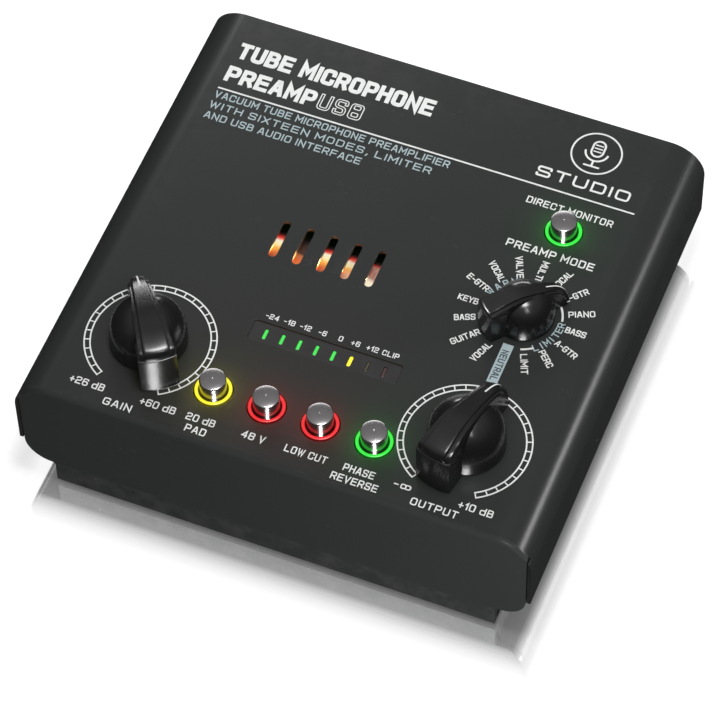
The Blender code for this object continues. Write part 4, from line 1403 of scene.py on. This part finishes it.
def build_xlr_out():
    shell, x, z, y0, y1 = xlr_parts("output", 20.0)
    finish_xlr("output", shell, x, z, y0, y1, [bore(x, z, 9.6, y0 - 18.0, y1 + PROUD, 72)])
    core = prism("output_contact_disc", circle(x, z, 9.2, 64), y0 - 17.6, y0 - 15.0, "y")
    coat(core, BLACK_PLASTIC, (), 0.2, 2)
    profile = [(1.2, y0 - 16.0), (1.2, y0 - 5.4), (1.12, y0 - 4.9), (0.85, y0 - 4.5),
               (0.4, y0 - 4.25), (0.05, y0 - 4.2)]
    pins = [lathe("pin", (x + px, z - pz), profile, 32, "y") for px, pz in CONTACTS]
    coat(merge("output_contact_pins", pins), SILVER,
         ["output_xlr_pins"])


def build_jack(name):
    low, high = box_mm(name + "_jack")
    x, z = face_mm(name + "_nut")
    nose, back = high[1], low[1]
    face = REAR_LOW[1] - 0.5
    body = box(name + "_jack_body", x - 6.5, x + 6.5, back, face, z - 6.0, z + 6.0)
    crest, root = 4.4, 4.15
    at = REAR_HIGH[1] + 0.4
    profile = [(crest, face - 1.5), (crest, at)]
    while at < nose - 0.75:
        profile += [(crest, at), (root, at + 0.17), (crest, at + 0.34)]
        at += 0.42
    profile += [(crest, nose - 0.35), (4.05, nose)]
    clean = [profile[0]]
    for r, w in profile[1:]:
        if w > clean[-1][1] + 1e-4:
            clean.append((r, w))
    join(body, lathe("nose", (x, z), clean, 64, "y"))
    cut(body, bore(x, z, 3.25, face - 20.0, nose + 4.0))
    coat(body, BLACK_PLASTIC, [name + "_jack"])
    low, high = box_mm(name + "_nut")
    hexagon = []
    for k in range(6):
        for lean in (-4, 4):
            a = math.radians(60 * k + lean)
            hexagon.append((x + 6.55 * math.cos(a), z + 6.55 * math.sin(a)))
    nut = prism(name + "_jack_nut", hexagon, low[1], high[1], "y")
    cone = lathe("tool", (x, z), [(6.0, high[1] + 0.3), (7.4, high[1] - 0.7), (7.4, low[1] - 1.0),
                                  (3.0, low[1] - 1.0), (3.0, high[1] + 0.3)], 64, "y", True)
    combine(nut, [cone], "INTERSECT")
    cut(nut, bore(x, z, 4.65, low[1] - 3.0, high[1] + 3.0))
    coat(nut, NICKEL, [name + "_nut"], 0.08, 2)


def build_usb():
    low, high = box_mm("usb_socket")
    x, z = face_mm("usb_socket")
    outer = rounded(x, z, high[0] - low[0], high[2] - low[2], 0.6, 5)
    shell = prism("usb_shell", outer, low[1], high[1], "y")
    mouth = [(x - 4.2, z - 3.9), (x + 4.2, z - 3.9), (x + 4.2, z + 2.4), (x + 2.7, z + 3.9),
             (x - 2.7, z + 3.9), (x - 4.2, z + 2.4)]
    cut(shell, prism("tool", mouth, high[1] - 10.0, high[1] + 4.0, "y"))
    coat(shell, STEEL, ["usb_socket"], 0.12, 2)
    slab = rounded(x, z, 5.6, 3.1, 0.3, 4)
    tongue = prism("usb_tongue", slab, high[1] - 10.5, high[1] - 1.6, "y")
    coat(tongue, BLACK_PLASTIC, (), 0.1, 2)


def build_power():
    low, high = box_mm("power_socket")
    x, z = face_mm("power_socket")
    x -= POWER_OFFSET
    out = high[1]
    face = REAR_LOW[1] - 0.5
    body = box("power_jack", low[0], high[0], low[1], face, low[2], high[2])
    nose = [(4.2, face - 1.5), (4.2, out - 0.3), (3.9, out)]
    join(body, lathe("nose", (x, z), nose, 64, "y"))
    cut(body, bore(x, z, 3.1, out - 12.6, out + 4.0))
    coat(body, BLACK_PLASTIC, ["power_socket"])
    profile = [(1.0, out - 13.5), (1.0, out - 2.1), (0.8, out - 1.8), (0.1, out - 1.7)]
    pin = lathe("power_pin", (x, z), profile, 32, "y")
    coat(pin, SILVER)


# ---------------------------------------------------------------- valve and inner pieces
def build_valve():
    low, high = box_mm("valve_glass")
    middle = centre_mm("valve_glass")[1:]
    r = (high[1] - low[1]) / 2
    x0, x1 = low[0], high[0]
    outer = smooth_path(((r, x0), (r, x0 + 8.0), (r, x1 - 9.0), (r - 0.9, x1 - 5.0),
                         (r - 3.6, x1 - 2.0), (r - 6.6, x1 - 0.9), (1.2, x1)), 6)
    inner = [(max(0.4, radius - 0.9), min(w, x1 - 1.0)) for radius, w in outer]
    inner = [p for p in inner if p[1] < x1 - 1.05] + [(1.0, x1 - 1.0)]
    glass = lathe("valve_envelope", middle, outer + inner[::-1], 64, "x", True)
    coat(glass, GLASS, ["valve_glass"])
    # two thin sleeves round the electrodes that carry the painted glow seen through the slots
    plates = []
    for start, stop in ((x0 + 1.0, x1 - 20.5), (x1 - 19.9, x1 - 8.6)):
        ring = [(8.55, start), (8.72, start + 0.15), (8.72, stop - 0.15), (8.55, stop)]
        plates.append(lathe("plate", middle, ring, 72, "x", True))
    coat(merge("valve_anode_plates", plates), PAINTED_GLOW)


def dress_inner_nodes():
    """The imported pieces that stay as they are."""
    # the valve electrodes carry the same painted glow as the sleeves
    choice = {"valve_electrodes": PAINTED_GLOW, "valve_socket": CERAMIC, "control_board": BOARD,
              "main_board": BOARD}
    choice.update({name + "_shaft": TURNED for name in KNOBS})
    choice.update({name + "_pot": STEEL for name in KNOBS})
    choice.update({name + "_switch": CREAM for name in BUTTONS})
    for name, material in choice.items():
        node = frame["nodes"][name]
        node.data.materials.clear()
        node.data.materials.append(material)
        node.data.shade_smooth()
        node.data.set_sharp_from_angle(angle=math.radians(35))


# ---------------------------------------------------------------- studio
# name, direction seen from the case, distance, width, height, watts, pieces it lights
SOFTBOXES = (
    ("zenith_soft", (0.10, -0.06, 0.99), 1.0, 0.24, 0.24, 6.0, "all but front"),
    ("zenith_front", (0.10, -0.06, 0.99), 1.0, 0.24, 0.24, 6.0, "front"),
    ("key_soft", (0.40, -0.45, 0.80), 1.1, 0.45, 0.45, 2.7, "case"),
    ("back_fill", (-0.40, 0.76, 0.52), 0.6, 0.20, 0.20, 1.3, "case"),
    ("right_strip", (0.86, 0.37, 0.305), 1.0, 0.36, 0.14, 4.2, "case"),
    ("left_edge", (-0.575, 0.529, 0.625), 1.0, 0.40, 0.22, 0.15, "case"),
    ("front_strip", (0.34, -0.36, 0.87), 1.0, 0.06, 0.26, 1.1, "knobs"),
    ("back_low", (-0.39, 0.92, 0.17), 1.0, 0.50, 0.08, 1.8, "knobs"),
    ("back_high", (-0.36, 0.79, 0.48), 1.0, 0.80, 0.26, 2.2, "caps"),
    ("mode_glint", (-0.79, -0.24, 0.57), 1.0, 0.20, 0.20, 9.0, "mode"),
    ("front_fill", (0.60, -0.76, 0.16), 0.30, 0.06, 0.06, 0.62, "front"),
)
# lamps that no surface mirrors
MATTE_LIGHTS = ("front_fill", "zenith_front")
AIM = Vector((0.0, 0.0, 0.03))
HALO_WATTS = 0.0080
SLOT_WATTS = 0.0028
SLOT_COLOUR = (1.0, 0.36, 0.12)


def add_light(name, kind, where, watts, receivers):
    """Lamp aimed at the case, lighting only the receivers."""
    data = bpy.data.lights.new(name, kind)
    data.energy = watts
    lamp = bpy.data.objects.new(name, data)
    bpy.context.collection.objects.link(lamp)
    lamp.location = where
    lamp.visible_camera = False
    lamp.rotation_euler = (AIM - Vector(where)).to_track_quat("-Z", "Y").to_euler()
    group = bpy.data.collections.new(name + "_receivers")
    for piece in receivers:
        group.objects.link(piece)
    lamp.light_linking.receiver_collection = group
    return lamp


def add_panel(name, where, watts, receivers, width, height):
    lamp = add_light(name, "AREA", where, watts, receivers)
    lamp.data.shape = "RECTANGLE"
    lamp.data.size = width
    lamp.data.size_y = height
    return lamp


def add_bulb(name, where, watts, receivers, colour, radius):
    lamp = add_light(name, "POINT", where, watts, receivers)
    lamp.data.color = colour
    lamp.data.shadow_soft_size = radius
    no_shadow(lamp)
    return lamp


def no_shadow(lamp):
    lamp.data.use_shadow = False
    lamp.data.cycles.use_multiple_importance_sampling = False


def build_floor():
    bpy.ops.mesh.primitive_plane_add(size=6.0, location=(0.0, 0.0, 0.0))
    floor = bpy.context.object
    floor.name = "studio_floor"
    floor.data.materials.append(floor_material())
    floor.visible_glossy = False
    return floor


def build_sky():
    """Grey surroundings that brighten overhead."""
    world = bpy.data.worlds.new("studio_world")
    bpy.context.scene.world = world
    world.use_nodes = True
    tree = world.node_tree
    back = tree.nodes["Background"]
    back.inputs["Strength"].default_value = WORLD_LIGHT
    upward = tree.nodes.new("ShaderNodeSeparateXYZ")
    tree.links.new(tree.nodes.new("ShaderNodeTexCoord").outputs["Generated"], upward.inputs[0])
    ramp = tree.nodes.new("ShaderNodeValToRGB")
    ramp.color_ramp.elements.new(0.5)
    sky = ((0.0, 0.04), (0.35, 0.16), (0.80, 1.0))
    for element, (at, value) in zip(ramp.color_ramp.elements, sky):
        element.position = at
        element.color = (value, value, value, 1.0)
    tree.links.new(upward.outputs["Z"], ramp.inputs["Fac"])
    tree.links.new(ramp.outputs["Color"], back.inputs["Color"])


def build_lamps(knobs, caps, floor):
    controls = knobs + caps
    case = [o for o in bpy.data.objects if o.type == "MESH" and o not in controls + [floor]]
    front = [o for o in case if o.name.startswith("front_plate")]
    mode = [o for o in knobs if o.name.startswith("mode")]
    rest = [o for o in bpy.context.scene.objects if o.type == "MESH" and o not in front]
    groups = {"case": case, "all but front": rest, "front": front, "mode": mode, "knobs": knobs,
              "caps": caps}
    for name, direction, distance, width, height, watts, receivers in SOFTBOXES:
        where = Vector(direction).normalized() * distance
        lamp = add_panel(name, where, watts, groups[receivers], width, height)
        lamp.visible_glossy = name not in MATTE_LIGHTS
    # low card in front of the case: only the knobs and caps catch it
    where = Vector((0.22, -0.53, -0.82)).normalized() * 0.8 + Vector((0.0, 0.0, 0.04))
    no_shadow(add_panel("low_card", where, 1.3, controls, 0.13, 0.28))
    cover = [o for o in case if o.name.startswith("cover_shell")]
    for name in BUTTONS:
        x, y = plan_mm(name + "_ring")
        lamp = add_bulb(name + "_halo", (x * MM, y * MM, (TOP + 2.2) * MM), HALO_WATTS, cover,
                        RING_COLOURS[BUTTONS[name]], 2.0 * MM)
        lamp.visible_glossy = False
    for i, x in enumerate(SLOT_X):
        where = (x * MM, (SLOT_Y - 1.0) * MM, (TOP - 3.6) * MM)
        add_bulb("slot_glow_%d" % (i + 1), where, SLOT_WATTS, cover, SLOT_COLOUR, 0.8 * MM)


def build_camera():
    """Long lens from the front right, high above; a slight roll, as in a product shot."""
    data = bpy.data.cameras.new("camera")
    data.lens = 201.05
    data.sensor_width = 36.0
    data.clip_end = 20.0
    camera = bpy.data.objects.new("camera", data)
    bpy.context.collection.objects.link(camera)
    target = Vector((8.53 * MM, (-26.59 + MID_Y) * MM, TOP * MM))
    azimuth = math.radians(23.22)
    elevation = math.radians(55.64)
    distance = 0.9764
    camera.location = target + distance * Vector((math.cos(elevation) * math.sin(azimuth),
                                                  -math.cos(elevation) * math.cos(azimuth),
                                                  math.sin(elevation)))
    look = (target - camera.location).to_track_quat("-Z", "Y").to_matrix()
    roll = Matrix.Rotation(math.radians(-1.80), 3, "Z")
    camera.rotation_euler = (look @ roll).to_euler()
    bpy.context.scene.camera = camera
    bpy.context.scene.view_settings.view_transform = "Standard"


for build in (build_cover, build_front, build_rear, build_base, build_feet_and_screws):
    build()
KNOB_PIECES = [build_knob(knob) for knob in KNOBS]
CAP_PIECES = [build_button(button) for button in BUTTONS]
for build in (build_meter, print_scales, print_rear_labels, print_labels, print_title,
              print_slogan, print_badge, print_mode_dial, build_xlr_in, build_xlr_out):
    build()
for jack in ("input", "output"):
    build_jack(jack)
for build in (build_usb, build_power, build_valve, dress_inner_nodes):
    build()
FLOOR = build_floor()
build_sky()
build_lamps(KNOB_PIECES, CAP_PIECES, FLOOR)
build_camera()

bpy.context.view_layer.update()
